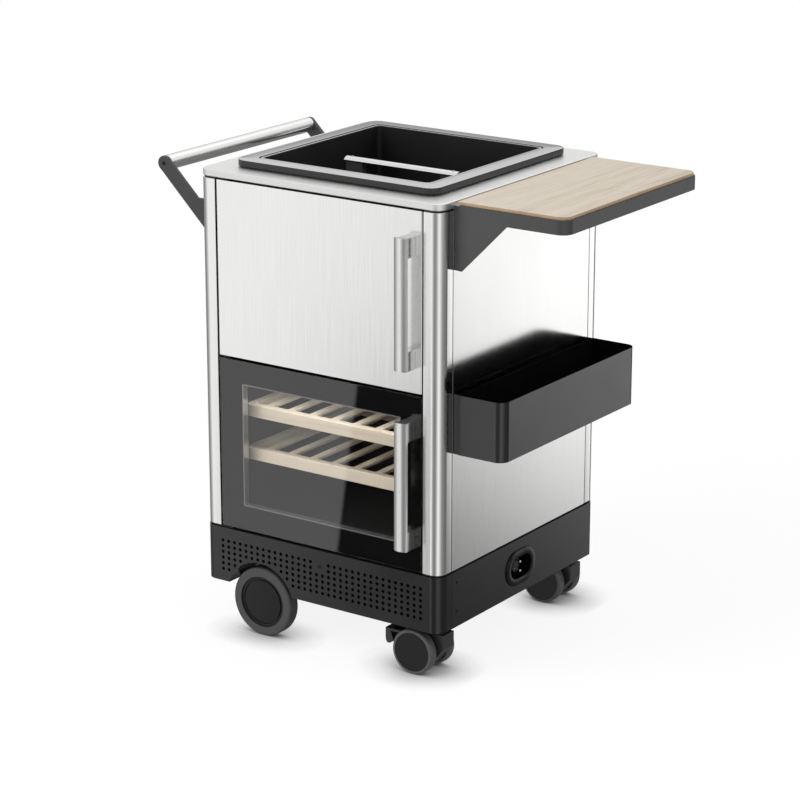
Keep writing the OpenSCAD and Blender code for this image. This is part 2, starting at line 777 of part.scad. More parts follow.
// Handle: a bar with a crowned front on two square feet
handle_crown = 4;
foot_set = 6;
module handle(z0, z1) color(steel) in_cart() {
    x1 = door_hw - handle_in;
    x0 = x1 - handle_w;
    zc = (z0 + z1) / 2;
    y0 = -hd - handle_out;
    bow_r = (pow(handle_w / 2, 2) + pow(handle_crown, 2)) / (2 * handle_crown);
    along_z(zc - handle_l / 2, zc + handle_l / 2) intersection() {
        span(x0, x1, y0, y0 + handle_bar_t);
        translate([(x0 + x1) / 2, y0 + bow_r]) circle(bow_r, $fn = 160);
    }
    for (z = [zc - handle_l / 2, zc + handle_l / 2 - handle_foot])
        block(x0 + foot_set, x1, y0 + (handle_crown + handle_bar_t) / 2, -hd, z, z + handle_foot);
}

module upper_handle() handle(upper_z0, upper_z1);
module lower_handle() handle(glass_z0, glass_z1);

// Glass door: front pane, frame with a spacer round the window, inner pane
window_hw = door_hw - window_rim;
window_z0 = glass_z0 + window_rim_z;
window_z1 = glass_z1 - window_rim_z;
frame_set = 2;
spacer_t = 2;
frame_back = -hd + glass_door_t;

module glass_pane() color(tinted) in_cart()
    block(-door_hw, door_hw, -hd, -hd + pane_t, glass_z0, glass_z1);

module glass_door_frame() color(plastic) in_cart() difference() {
    block(-door_hw + frame_set, door_hw - frame_set, -hd + pane_t, frame_back,
        glass_z0 + frame_set, glass_z1 - frame_set);
    block(-window_hw - spacer_t, window_hw + spacer_t, -hd, frame_back + over,
        window_z0 - spacer_t, window_z1 + spacer_t);
    hinge_bores(glass_z0 + frame_set, glass_z1 - frame_set, fit);
}

module glass_spacer() color(steel) in_cart() along_y(-hd + pane_t, frame_back - inner_pane_t) difference() {
    span(-window_hw - spacer_t, window_hw + spacer_t, window_z0 - spacer_t, window_z1 + spacer_t);
    span(-window_hw, window_hw, window_z0, window_z1);
}

module glass_inner_pane() color(tinted) in_cart()
    block(-window_hw - spacer_t, window_hw + spacer_t, frame_back - inner_pane_t, frame_back,
        window_z0 - spacer_t, window_z1 + spacer_t);

module glass_door_gasket() color(plastic) in_cart() gasket(glass_z0, glass_z1, frame_back);

// Push handle: two plate arms with round heads and a tube between them
arm_y = panel_y;
arm_hw = push_r - near_gap;
head_x = -hw - push_out;
head_z = top_h - push_drop;
module push_arm() color(coated) in_cart() {
    c = cos(arm_deg);
    t = tan(arm_deg);
    z_shoulder = top_h - arm_shoulder;
    z_heel = head_z - push_out * t - arm_hw / c;
    x_shoulder = head_x + (head_z + arm_hw / c - z_shoulder) / t;
    head_out = arm_hw * sin(arm_deg);
    head_up = arm_hw * cos(arm_deg);
    difference() {
        union() {
            rod_y(push_r, head_x, head_z, arm_y - arm_t, arm_y);
            along_y(arm_y - arm_t, arm_y) polygon([
                [head_x - head_out, head_z - head_up], [head_x + head_out, head_z + head_up],
                [x_shoulder, z_shoulder], [-hw, z_shoulder], [-hw, z_heel]]);
        }
        rod_y(push_screw_r, head_x, head_z, arm_y - arm_t - over, arm_y + over);
    }
}
module push_arm_front() mirror_in_cart() push_arm();
module push_arm_rear() push_arm();
module mirror_in_cart() translate([0, 2 * cab_y, 0]) mirror([0, 1, 0]) children();

module push_tube() color(steel) in_cart() difference() {
    rod_y(push_r, head_x, head_z, -arm_y + arm_t, arm_y - arm_t);
    rod_y(push_r - push_wall, head_x, head_z, -arm_y + arm_t - over, arm_y - arm_t + over);
}

// Hooks that pass through the side panel's slots and drop behind it
module hooks(list, z0, z1) for (sy = [-1, 1]) side_y(sy) {
    block(hw + near_gap, hang_x + basket_t / 2, hook_y - hook_strip / 2, hook_y + hook_strip / 2, z0, z1);
    for (z = list) {
        block(hw - sheet - near_gap - hook_t, hang_x, hook_y - hook_t / 2, hook_y + hook_t / 2,
            z, z + hook_h);
        block(hw - sheet - near_gap - hook_t, hw - sheet - near_gap, hook_y - hook_t / 2, hook_y + hook_t / 2,
            z - hook_drop, z + hook_h);
    }
}

// Side shelf: a folded frame with a bracket at each end, and its board
board_set = 3;
shelf_hd = hd - shelf_end;
module shelf_outline(set) {
    x1 = hw + shelf_out - set;
    y1 = shelf_hd - set;
    r = shelf_r - set;
    span(hang_x, x1 - r, -y1, y1);
    span(hang_x, x1, -y1 + r, y1 - r);
    for (sy = [-1, 1]) translate([x1 - r, sy * (y1 - r)]) circle(r);
}

module shelf_frame() color(coated) in_cart() {
    z1 = top_h - board_t;
    z0 = z1 - skirt_h;
    tip = 2 * fold_t;
    along_z(z1 - fold_t, z1) shelf_outline(0);
    along_z(z0, z1 - fold_t) difference() {
        shelf_outline(0);
        shelf_outline(fold_t);
    }
    for (sy = [-1, 1]) side_y(sy) along_y(shelf_hd - fold_t, shelf_hd)
        polygon([[hang_x, z1 - bracket_h], [hang_x + tip, z1 - bracket_h], [hang_x + bracket_l, z0],
            [hang_x + bracket_l, z1 - fold_t], [hang_x, z1 - fold_t]]);
    hooks(shelf_hooks, z1 - bracket_h, z1 - fold_t);
    for (sy = [-1, 1]) side_y(sy)
        block(hang_x, hang_x + fold_t, hook_y - hook_strip / 2, shelf_hd, z1 - bracket_h, z1 - fold_t);
}

module shelf_board() color(oak) in_cart() along_z(top_h - board_t, top_h) {
    x0 = hw + stand_off * 0.6;
    x1 = hw + shelf_out - board_set;
    y1 = shelf_hd - board_set;
    r = shelf_r - board_set;
    span(x0, x1 - r, -y1, y1);
    span(x0, x1, -y1 + r, y1 - r);
    for (sy = [-1, 1]) translate([x1 - r, sy * (y1 - r)]) circle(r);
}

// Basket: an open folded tray with large outer corners
basket_t = 2;
module basket_outline(set) {
    x0 = hang_x + set;
    x1 = hang_x + basket_w - set;
    y1 = shelf_hd - set;
    r = basket_r - set;
    span(x0, x1 - r, -y1, y1);
    span(x0, x1, -y1 + r, y1 - r);
    for (sy = [-1, 1]) translate([x1 - r, sy * (y1 - r)]) circle(r);
}

module basket() color(coated) in_cart() {
    z1 = basket_z + basket_h;
    along_z(basket_z, basket_z + basket_t) basket_outline(0);
    along_z(basket_z + basket_t, z1) difference() {
        basket_outline(0);
        basket_outline(basket_t);
    }
    hooks(basket_hooks, basket_z, z1);
}

// Fixed wheel: a round-shouldered tyre on a slightly domed disc
tyre_r = 5;
dome_h = 2;
dome_r = (pow(disc_r, 2) + pow(dome_h, 2)) / (2 * dome_h);
module at_wheel() in_cart() translate([wheel_x, -wheel_back, wheel_r]) rotate([90, 0, 0]) children();

module wheel_tyre() color(rubber) at_wheel() rotate_extrude($fn = 96) intersection() {
    translate([(disc_r + wheel_r) / 2 - tyre_r, wheel_w / 2])
        rounded(wheel_r - disc_r + 2 * tyre_r, wheel_w, tyre_r);
    span(disc_r, wheel_r, 0, wheel_w);
}

module wheel_disc() color(plastic) at_wheel() difference() {
    union() {
        rotate_extrude($fn = 96) intersection() {
            span(0, disc_r, dome_h, wheel_w - dome_h / 2);
            translate([0, wheel_w - dome_h / 2 - dome_r]) circle(dome_r, $fn = 720);
        }
        translate([0, 0, boss_z]) cylinder(r = boss_r, h = dome_h - boss_z);
    }
    translate([0, 0, boss_z - over]) cylinder(r = axle_r + fit, h = wheel_w * 2 / 3 + fit * 10 + over - boss_z);
}
boss_z = -(wheel_back - house_back - bracket_t * 3 / 2) + near_gap;

module front_wheel_tyre() wheel_tyre();
module front_wheel_disc() wheel_disc();
module rear_wheel_tyre() mirror_in_cart() wheel_tyre();
module rear_wheel_disc() mirror_in_cart() wheel_disc();

// Twin-wheel caster, drawn at the swivel line with the wheels trailing towards -X
module at_caster() in_cart() translate([swivel_x, -swivel_y, 0]) children();
hood_play = 1;
hood_hw = caster_gap / 2 - hood_play;
hood_wall = 3;
hood_front = 30;
hood_set = 7;
hood_r = caster_r - hood_set;
hood_chin_z = 54;
hood_tip_x = 2;
hood_tip_z = 20;
collar_z = 2 * caster_r + 2 * hood_play;
pedal_back = 21;
pedal_up = 23;
pedal_x = -trail - pedal_back;
pedal_z = caster_r + pedal_up;
pedal_pin_r = 2.5;

module hood_profile(set) {
    translate([-trail, caster_r]) circle(hood_r - set);
    polygon([[-trail, caster_r + hood_r - set], [hood_front - set, caster_r + hood_r - set],
        [hood_front - set, hood_chin_z + set / 2], [hood_tip_x - set / 2, hood_tip_z + set],
        [-trail, caster_r - hood_r + set]]);
}

module caster_hood() color(plastic) at_caster() {
    difference() {
        union() {
            along_y(-hood_hw, hood_hw) hood_profile(0);
            rod_z(hood_hw, 0, 0, caster_r + hood_r - hood_wall, hood_top);
            rod_z(hood_front, 0, 0, collar_z, hood_top);
        }
        difference() {
            along_y(-hood_hw + hood_wall, hood_hw - hood_wall) union() {
                hood_profile(hood_wall);
                polygon([[-trail - hood_r, 0], [hood_tip_x + hood_wall, 0],
                    [hood_tip_x, hood_tip_z + 2 * hood_wall], [-trail - hood_r, hood_tip_z]]);
            }
            rod_y(2 * caster_axle_r, -trail, caster_r, -hood_hw, hood_hw);
            rod_z(2 * stem_r, 0, 0, stem_end - 2 * hood_wall, hood_top);
        }
        rod_y(caster_axle_r + fit, -trail, caster_r, -hood_hw - over, hood_hw + over);
        rod_z(stem_r + fit, 0, 0, stem_end - hood_wall / 2, hood_top + over);
        block(-trail - hood_r - over, pedal_x + 3 * pedal_pin_r, -pedal_hw - near_gap, pedal_hw + near_gap,
            hood_tip_z + hood_wall, pedal_z + 4 * pedal_pin_r);
    }
    rod_y(pedal_pin_r, pedal_x, pedal_z, -hood_hw + hood_wall / 2, hood_hw - hood_wall / 2);
}

// Brake pedal: a barrel on the hood's pin, a flat arm and a deep lobe with a round tip
pedal_hw = hood_hw - hood_wall - near_gap;
pedal_t = 5;
pedal_tip_x = -trail - caster_r - pedal_out;
lobe_r = 10;
lobe_drop = 11;
lobe_lean = 4;
module lobe_profile() {
    for (k = [0, 1]) translate([k * lobe_lean, -k * lobe_drop]) circle(lobe_r);
    rotate(atan2(lobe_lean, lobe_drop)) span(-lobe_r, lobe_r, -norm([lobe_lean, lobe_drop]), 0);
}
module brake_pedal() color(plastic) at_caster() difference() {
    union() {
        rod_y(2 * pedal_pin_r, pedal_x, pedal_z, -pedal_hw, pedal_hw);
        intersection() {
            along_y(-pedal_hw, pedal_hw) {
                span(pedal_tip_x + lobe_r, pedal_x, pedal_z - pedal_t / 2, pedal_z + pedal_t / 2);
                translate([pedal_tip_x + lobe_r, pedal_z + pedal_t / 2 - lobe_r]) lobe_profile();
            }
            along_z(0, caster_r * 3) {
                translate([pedal_tip_x + pedal_hw, 0]) circle(pedal_hw);
                span(pedal_tip_x + pedal_hw, pedal_x, -pedal_hw, pedal_hw);
            }
        }
    }
    rod_y(pedal_pin_r + fit, pedal_x, pedal_z, -pedal_hw - over, pedal_hw + over);
}

// Caster wheel: a hard tread with a round shoulder and a shallow face recess
tread_r = 4;
face_rim = 4;
face_deep = 1;
module caster_wheel(s) color(plastic) at_caster() translate([-trail, s * caster_gap / 2, caster_r])
    rotate([s * -90, 0, 0]) difference() {
        rotate_extrude($fn = 96) intersection() {
            translate([0, caster_w / 2]) rounded(2 * caster_r, caster_w, tread_r);
            span(0, caster_r, 0, caster_w);
        }
        translate([0, 0, caster_w - face_deep]) cylinder(r = caster_r - tread_r - face_rim / 4, h = face_deep + over);
        translate([0, 0, -over]) cylinder(r = caster_axle_r + fit, h = axle_in + 10 * fit + over);
    }

axle_in = 15;

module front_caster_hood() caster_hood();
module front_caster_axle() caster_axle();
module caster_axle() color(steel) at_caster()
    rod_y(caster_axle_r, -trail, caster_r, -caster_gap / 2 - axle_in, caster_gap / 2 + axle_in);
module front_caster_wheel_outer() caster_wheel(-1);
module front_caster_wheel_inner() caster_wheel(1);
module front_brake_pedal() brake_pedal();
module rear_caster_hood() mirror_in_cart() caster_hood();
module rear_caster_axle() mirror_in_cart() caster_axle();
module rear_caster_wheel_outer() mirror_in_cart() caster_wheel(-1);
module rear_caster_wheel_inner() mirror_in_cart() caster_wheel(1);

base_frame();
caster_plates();
wheel_axles();
wheel_housings();
plinth_front();
plinth_back();
plinth_left();
plinth_right();
screws();
corner_post(-1, -1);  // corner_post_front_left
corner_post(1, -1);  // corner_post_front_right
corner_post(-1, 1);  // corner_post_rear_left
corner_post(1, 1);  // corner_post_rear_right
side_panel_left();
side_panel_right();
back_panel();
top_frame();
worktop();
tub();
tub_seal();
cupboard_liner();
cooler_liner();
wine_shelf(upper_shelf_z);  // wine_shelf_upper
wine_shelf(lower_shelf_z);  // wine_shelf_lower
inlet_housing();
inlet_pins();
hinge_plates();
push_arm_front();
push_arm_rear();
push_tube();
upper_door_skin();
upper_door_core();
upper_door_gasket();
upper_handle();
glass_pane();
glass_door_frame();
glass_spacer();
glass_inner_pane();
glass_door_gasket();
lower_handle();
ice_tray();
tray_edge();
grip_posts();
grip_bar();
shelf_frame();
shelf_board();
basket();
front_wheel_tyre();
front_wheel_disc();
rear_wheel_tyre();
rear_wheel_disc();
front_caster_hood();
front_caster_axle();
front_caster_wheel_outer();
front_caster_wheel_inner();
front_brake_pedal();
rear_caster_hood();
rear_caster_axle();
rear_caster_wheel_outer();
rear_caster_wheel_inner();
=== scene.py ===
"""Looks of the outdoor bar cart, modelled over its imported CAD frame.

Every length is in metres in the row frame: the floor is z = 0, the doors face -Y and the
side shelf hangs on the +X side. Angles of the light cards are in degrees.
"""

import logging
import math
from contextlib import contextmanager
from dataclasses import dataclass
from enum import Enum
from typing import Callable, ClassVar, Iterator, Sequence

import bpy
from mathutils import Matrix, Vector


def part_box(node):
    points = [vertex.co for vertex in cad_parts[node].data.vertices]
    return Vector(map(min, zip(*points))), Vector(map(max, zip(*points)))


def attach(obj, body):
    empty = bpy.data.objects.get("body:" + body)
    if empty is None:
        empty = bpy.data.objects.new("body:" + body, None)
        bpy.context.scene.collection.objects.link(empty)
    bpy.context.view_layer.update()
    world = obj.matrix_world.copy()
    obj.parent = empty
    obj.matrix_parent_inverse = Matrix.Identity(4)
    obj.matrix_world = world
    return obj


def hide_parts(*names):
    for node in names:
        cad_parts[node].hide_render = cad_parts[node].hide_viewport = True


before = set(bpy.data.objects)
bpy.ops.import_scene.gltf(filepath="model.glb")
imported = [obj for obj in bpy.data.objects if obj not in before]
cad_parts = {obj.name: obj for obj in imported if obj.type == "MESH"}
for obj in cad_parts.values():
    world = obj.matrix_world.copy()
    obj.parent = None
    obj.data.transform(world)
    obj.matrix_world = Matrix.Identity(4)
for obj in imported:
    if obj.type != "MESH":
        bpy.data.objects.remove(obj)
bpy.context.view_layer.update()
LOG = logging.getLogger("bar_cart")

MM = 0.001
UP = Vector((0, 0, 1))
FRONT = Vector((0, -1, 0))
RIGHT = Vector((1, 0, 0))
EPS = 0.05 * MM
ALIGNED = 0.99
BUMP_REACH = 0.1 * MM
WAVE_RADIANS = 20
WHITE = (1.0, 1.0, 1.0, 1.0)

Test = Callable[[Vector, Vector], bool]
Tone = Place = tuple[float, float, float]
Span = tuple[float, float]
Stops = tuple[tuple[float, float], ...]
Socket = bpy.types.NodeSocket
Value = object


class Body(Enum):
    """The bodies of the frame that pieces ride on."""

    CABINET = "cabinet"
    UPPER_DOOR = "upper_door"
    GLASS_DOOR = "glass_door"
    TRAY = "lift_out_tray"
    SHELF = "side_shelf"
    BASKET = "side_basket"


class Slot(Enum):
    """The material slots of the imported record."""

    COAT = "black_coat"
    STEEL = "stainless"
    PLASTIC = "black_plastic"
    SEAL = "seal_rubber"
    TYRE = "tyre_rubber"
    PALE_WOOD = "pale_wood"
    OAK = "oak"
    GLASS = "tinted_glass"


class Brush(Enum):
    """The direction that a sheet was brushed in, as the pattern's scale along X, Y and Z."""

    UPRIGHT = (520.0, 520.0, 7.0)
    ALONG_X = (7.0, 520.0, 520.0)
    ALONG_Y = (520.0, 7.0, 520.0)


class Grain(Enum):
    """The direction that wood grain runs in, as the pattern's stretch along X, Y and Z."""

    ALONG_X = (0.05, 1.0, 1.0)
    ALONG_Y = (1.0, 0.05, 1.0)


class Pick(Enum):
    """What a selection is made of, by the name of the mesh's own list."""

    VERTS = "vertices"
    EDGES = "edges"
    FACES = "polygons"


@dataclass(frozen=True)
class Box:
    """An upright box between two corners."""

    low: Vector
    high: Vector

    @classmethod
    def of(cls, *nodes: str) -> "Box":
        """Returns the box round some CAD nodes at rest.

        Args:
            nodes: Names of the CAD nodes.

        Returns:
            The smallest upright box that holds them all.
        """
        boxes = [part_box(node) for node in nodes]
        low = [min(b[0][i] for b in boxes) for i in range(3)]
        high = [max(b[1][i] for b in boxes) for i in range(3)]
        return cls(Vector(low), Vector(high))

    @classmethod
    def span(cls, x: Span, y: Span, z: Span) -> "Box":
        """Returns the box between a low and a high value along each axis."""
        return cls(*(Vector(corner) for corner in zip(x, y, z)))

    @property
    def centre(self) -> Vector:
        """The middle of the box."""
        return (self.low + self.high) / 2

    @property
    def size(self) -> Vector:
        """The lengths of the box along X, Y and Z."""
        return self.high - self.low

    def grown(self, x: float, y: float, z: float) -> "Box":
        """Returns the box made larger on every side, or smaller where a value is negative."""
        step = Vector((x, y, z))
        return Box(self.low - step, self.high + step)

    def side(self, way: Vector) -> Vector:
        """Returns the middle of the side that looks one way along X, Y or Z."""
        return self.centre + Vector([w * s / 2 for w, s in zip(way, self.size)])


@dataclass(frozen=True)
class Station:
    """One rounded rectangle of a loft."""

    width: float
    depth: float
    radius: float
    height: float


@dataclass(frozen=True)
class Ring:
    """A rounded rectangle that a loft passes through at several heights."""

    width: float
    depth: float
    radius: float

    def at(self, height: float, grow: float = 0.0) -> Station:
        """Returns the ring at a height, made larger on every side."""
        return Station(self.width + 2 * grow, self.depth + 2 * grow, self.radius + grow, height)


@dataclass(frozen=True)
class Pattern:
    """A noise pattern, by its cycles per metre along X, Y and Z."""

    scale: Sequence[float]
    octaves: float = 3.0
    rough: float = 0.5

    def stretched(self, stretch: Sequence[float]) -> "Pattern":
        """Returns the pattern with its scale times a stretch along each axis."""
        scale = tuple(part * ratio for part, ratio in zip(self.scale, stretch))
        return Pattern(scale, self.octaves, self.rough)


def even(scale: float, octaves: float = 3.0, rough: float = 0.5) -> Pattern:
    """Returns a noise pattern with the same scale along every axis."""
    return Pattern((scale,) * 3, octaves, rough)


def scaled(tone: Tone, factor: float) -> Tone:
    """Returns a colour made lighter or darker."""
    return tuple(factor * part for part in tone)


def arc_radius(half: float, rise: float) -> float:
    """Returns the radius of an arc from half its chord and its rise."""
    return (half ** 2 + rise ** 2) / (2 * rise)


class Graph:
    """The node tree of a material or a world, built from the inputs to the output."""

    def __init__(self, owner: bpy.types.ID, output: str = "OutputMaterial") -> None:
        """Empties the owner's tree and adds its output node.

        Args:
            owner: The material or world.
            output: The output node's type name without "ShaderNode".
        """
        self.owner = owner
        owner.use_nodes = True
        self.tree = owner.node_tree
        self.tree.nodes.clear()
        self.output = self.node(output)

    def node(self, kind: str, **inputs: Value) -> bpy.types.Node:
        """Adds a node and sets or links its inputs.

        Args:
            kind: The node's type name without "ShaderNode".
            inputs: Input names with spaces as underscores, each a value or an output socket.

        Returns:
            The new node.
        """
        made = self.tree.nodes.new("ShaderNode" + kind)
        for key, value in inputs.items():
            self.feed(made.inputs[key.replace("_", " ")], value)
        return made

    def feed(self, socket: Socket, value: Value) -> None:
        """Fills an input socket.

        Args:
            socket: The input.
            value: An output socket to link, or the input's own value.
        """
        if isinstance(value, Socket):
            self.tree.links.new(value, socket)
        else:
            socket.default_value = value

    def place(self, scale: Sequence[float]) -> Socket:
        """Returns the object's coordinates stretched by a scale along each axis."""
        coordinates = self.node("TexCoord").outputs["Object"]
        return self.node("Mapping", Vector=coordinates, Scale=scale).outputs["Vector"]

    def noise(self, pattern: Pattern) -> Socket:
        """Returns the value of a noise pattern, about 0 to 1."""
        return self.node("TexNoise", Vector=self.place(pattern.scale), Scale=1.0,
                         Detail=pattern.octaves, Roughness=pattern.rough).outputs[0]

    def remap(self, value: Socket, low: float, high: float,
              start: float = 0.3, end: float = 0.7) -> Socket:
        """Runs a value from low to high while another runs from start to end.

        Args:
            value: The value that is read.
            low: The result at the start and before it.
            high: The result at the end and past it.
            start: Where the change begins.
            end: Where the change ends.

        Returns:
            The result.
        """
        made = self.node("MapRange", Value=value, From_Min=start, From_Max=end,
                         To_Min=low, To_Max=high)
        return made.outputs[0]

    def around(self, value: Socket, middle: float, sway: float) -> Socket:
        """Returns a value that a pattern moves to both sides of its middle."""
        return self.remap(value, middle - sway, middle + sway)

    def window(self, value: Socket, rise: Span, fall: Span) -> Socket:
        """Returns 1 between a rising and a falling edge, and 0 outside them."""
        return self.times(self.remap(value, 0.0, 1.0, *rise), self.remap(value, 1.0, 0.0, *fall))

    def math(self, operation: str, first: Value, second: Value = 0.0) -> Socket:
        """Adds a Math node.

        Args:
            operation: The node's operation.
            first: Its first value.
            second: Its second value, which some operations leave unread.

        Returns:
            The result.
        """
        made = self.node("Math")
        made.operation = operation
        self.feed(made.inputs[0], first)
        self.feed(made.inputs[1], second)
        return made.outputs[0]

    def times(self, first: Value, second: Value) -> Socket:
        """Returns the product of two values."""
        return self.math("MULTIPLY", first, second)

    def plus(self, first: Value, second: Value) -> Socket:
        """Returns the sum of two values."""
        return self.math("ADD", first, second)

    def blend(self, first: Value, second: Value, share: Value) -> Socket:
        """Returns a mix of two values, the second by its share."""
        rest = self.times(first, self.math("SUBTRACT", 1.0, share))
        return self.plus(rest, self.times(second, share))

    def ramp(self, value: Socket, stops: Sequence[tuple[float, Tone]]) -> Socket:
        """Reads a colour off a ramp.

        Args:
            value: Where on the ramp to read.
            stops: Pairs of a position and its colour, in rising order.

        Returns:
            The colour.
        """
        made = self.node("ValToRGB", Fac=value)
        elements = made.color_ramp.elements
        while len(elements) < len(stops):
            elements.new(0.5)
        for element, (position, tone) in zip(elements, stops):
            element.position = position
            element.color = (*tone, 1.0)
        return made.outputs["Color"]

    def tones(self, value: Socket, first: Tone, second: Tone,
              start: float = 0.35, end: float = 0.65) -> Socket:
        """Returns a colour that runs from one tone to another."""
        return self.ramp(value, ((start, first), (end, second)))

    def bump(self, height: Socket, strength: float) -> Socket:
        """Returns the surface normal bent by a height pattern."""
        return self.node("Bump", Height=height, Strength=strength,
                         Distance=BUMP_REACH).outputs["Normal"]

    def mix(self, share: Socket, first: bpy.types.Node, second: bpy.types.Node) -> bpy.types.Node:
        """Mixes two shaders.

        Args:
            share: The second one's share.
            first: The first shader.
            second: The second shader.

        Returns:
            The mix.
        """
        made = self.node("MixShader", Fac=share)
        self.feed(made.inputs[1], first.outputs[0])
        self.feed(made.inputs[2], second.outputs[0])
        return made

    def end(self, shader: bpy.types.Node) -> bpy.types.ID:
        """Links a shader to the output and returns the tree's owner."""
        self.feed(self.output.inputs["Surface"], shader.outputs[0])
        return self.owner

    def surface(self, **inputs: Value) -> bpy.types.Material:
        """Ends the tree in a Principled surface and returns the material."""
        return self.end(self.node("BsdfPrincipled", **inputs))


@dataclass(frozen=True)
class Finish:
    """A surface finish with the record's slot that it belongs to."""

    name: str
    slot: Slot = Slot.STEEL
    made: ClassVar[dict[str, bpy.types.Material]] = {}

    def material(self) -> bpy.types.Material:
        """Builds the finish's material on its first use.

        Returns:
            The material.
        """
        if self.name not in Finish.made:
            Finish.made[self.name] = self.build(Graph(bpy.data.materials.new(self.name)))
        return Finish.made[self.name]

    def build(self, graph: Graph) -> bpy.types.Material:
        """Fills the tree of a new material and returns the material."""
        raise NotImplementedError


@dataclass(frozen=True)
class BrushedSteel(Finish):
    """Stainless sheet with fine brush lines and a faint clouding of its gloss."""

    brush: Brush = Brush.UPRIGHT
    tone: Tone = (0.80, 0.80, 0.79)
    roughness: float = 0.22
    grain: float = 0.035
    clouds: Pattern = Pattern((5.0, 5.0, 3.0), 2.0)
    cloud_gloss: float = 0.01
    line_gloss: float = 0.015

    def build(self, graph: Graph) -> bpy.types.Material:
        """Fills the finish's tree.

        Args:
            graph: The tree, with nothing but its output.

        Returns:
            The material.
        """
        lines = graph.noise(Pattern(self.brush.value, octaves=4.0, rough=0.6))
        clouds = graph.around(graph.noise(self.clouds), self.roughness, self.cloud_gloss)
        colour = graph.tones(lines, scaled(self.tone, 1.0 - self.grain),
                             scaled(self.tone, 1.0 + self.grain))
        rough = graph.plus(clouds, graph.around(lines, 0.0, self.line_gloss))
        return graph.surface(Base_Color=colour, Metallic=1.0, Roughness=rough)


@dataclass(frozen=True)
class PowderCoat(Finish):
    """Satin powder coat with its fine orange peel."""

    slot: Slot = Slot.COAT
    tone: Tone = (0.005, 0.005, 0.0055)
    roughness: float = 0.24
    ior: float = 1.5
    grain: float = 900.0
    relief: float = 0.05
    cast: float = 7.0
    cast_light: float = 1.3
    sway: float = 0.015

    def build(self, graph: Graph) -> bpy.types.Material:
        """Fills the finish's tree.

        Args:
            graph: The tree, with nothing but its output.

        Returns:
            The material.
        """
        grain = graph.noise(even(self.grain, octaves=2.0))
        cast = graph.noise(even(self.cast))
        colour = graph.tones(cast, self.tone, scaled(self.tone, self.cast_light))
        return graph.surface(Base_Color=colour, IOR=self.ior,
                             Roughness=graph.around(cast, self.roughness, self.sway),
                             Normal=graph.bump(grain, self.relief))


@dataclass(frozen=True)
class MouldedPlastic(PowderCoat):
    """Moulded plastic with a fine mould grain."""

    slot: Slot = Slot.PLASTIC
    tone: Tone = (0.02, 0.02, 0.022)
    roughness: float = 0.38
    grain: float = 1500.0
    relief: float = 0.08
    cast: float = 12.0
    cast_light: float = 1.04
    sway: float = 0.02


@dataclass(frozen=True)
class SoftRubber(Finish):
    """Matt rubber with a dusty cast where it rubs."""

    slot: Slot = Slot.SEAL
    tone: Tone = (0.09, 0.09, 0.09)
    dust: Tone = (0.13, 0.13, 0.128)
    roughness: float = 0.62
    smoother: float = 0.06
    rougher: float = 0.08
    relief: float = 0.15
    patches: Pattern = even(60.0, 5.0, 0.6)
    grain: Pattern = even(1100.0, 2.0)

    def build(self, graph: Graph) -> bpy.types.Material:
        """Fills the finish's tree.

        Args:
            graph: The tree, with nothing but its output.

        Returns:
            The material.
        """
        dust = graph.noise(self.patches)
        grain = graph.noise(self.grain)
        rough = graph.remap(dust, self.roughness - self.smoother, self.roughness + self.rougher)
        return graph.surface(Base_Color=graph.tones(dust, self.tone, self.dust, end=0.7),
                             Roughness=rough, Normal=graph.bump(grain, self.relief))


@dataclass(frozen=True)
class Wood(Finish):
    """Oiled wood: soft bands, finer streaks and dark pores along its grain."""

    slot: Slot = Slot.OAK
    light: Tone = (0.62, 0.545, 0.445)
    dark: Tone = (0.50, 0.42, 0.32)
    pore: Tone = (0.40, 0.32, 0.235)
    roughness: float = 0.5
    grain: Grain = Grain.ALONG_Y
    band_share: float = 0.6
    pore_stretch: float = 0.45
    pore_share: float = 0.55
    pore_fade: Span = (0.6, 0.78)
    highlight: float = 1.08
    stops: Place = (0.34, 0.5, 0.72)
    sway: float = 0.06
    relief: float = 0.12
    bands: Pattern = even(46.0, 4.0, 0.55)
    streaks: Pattern = even(260.0, 3.0, 0.6)
    pores: Pattern = even(1100.0, 2.0)

    def build(self, graph: Graph) -> bpy.types.Material:
        """Fills the finish's tree.

        Args:
            graph: The tree, with nothing but its output.

        Returns:
            The material.
        """
        stretch = self.grain.value
        bands = graph.noise(self.bands.stretched(stretch))
        streaks = graph.noise(self.streaks.stretched(stretch))
        fine = tuple(s * (self.pore_stretch if s < 1 else 1.0) for s in stretch)
        pores = graph.noise(self.pores.stretched(fine))
        mixed = graph.plus(graph.times(bands, self.band_share),
                           graph.times(streaks, 1.0 - self.band_share))
        shades = (self.dark, self.light, scaled(self.light, self.highlight))
        ground = graph.ramp(mixed, tuple(zip(self.stops, shades)))
        blend = graph.node("MixRGB", Fac=graph.remap(pores, 0.0, self.pore_share, *self.pore_fade),
                           Color1=ground, Color2=(*self.pore, 1.0))
        return graph.surface(Base_Color=blend.outputs[0],
                             Roughness=graph.around(streaks, self.roughness, -self.sway),
                             Normal=graph.bump(pores, self.relief))


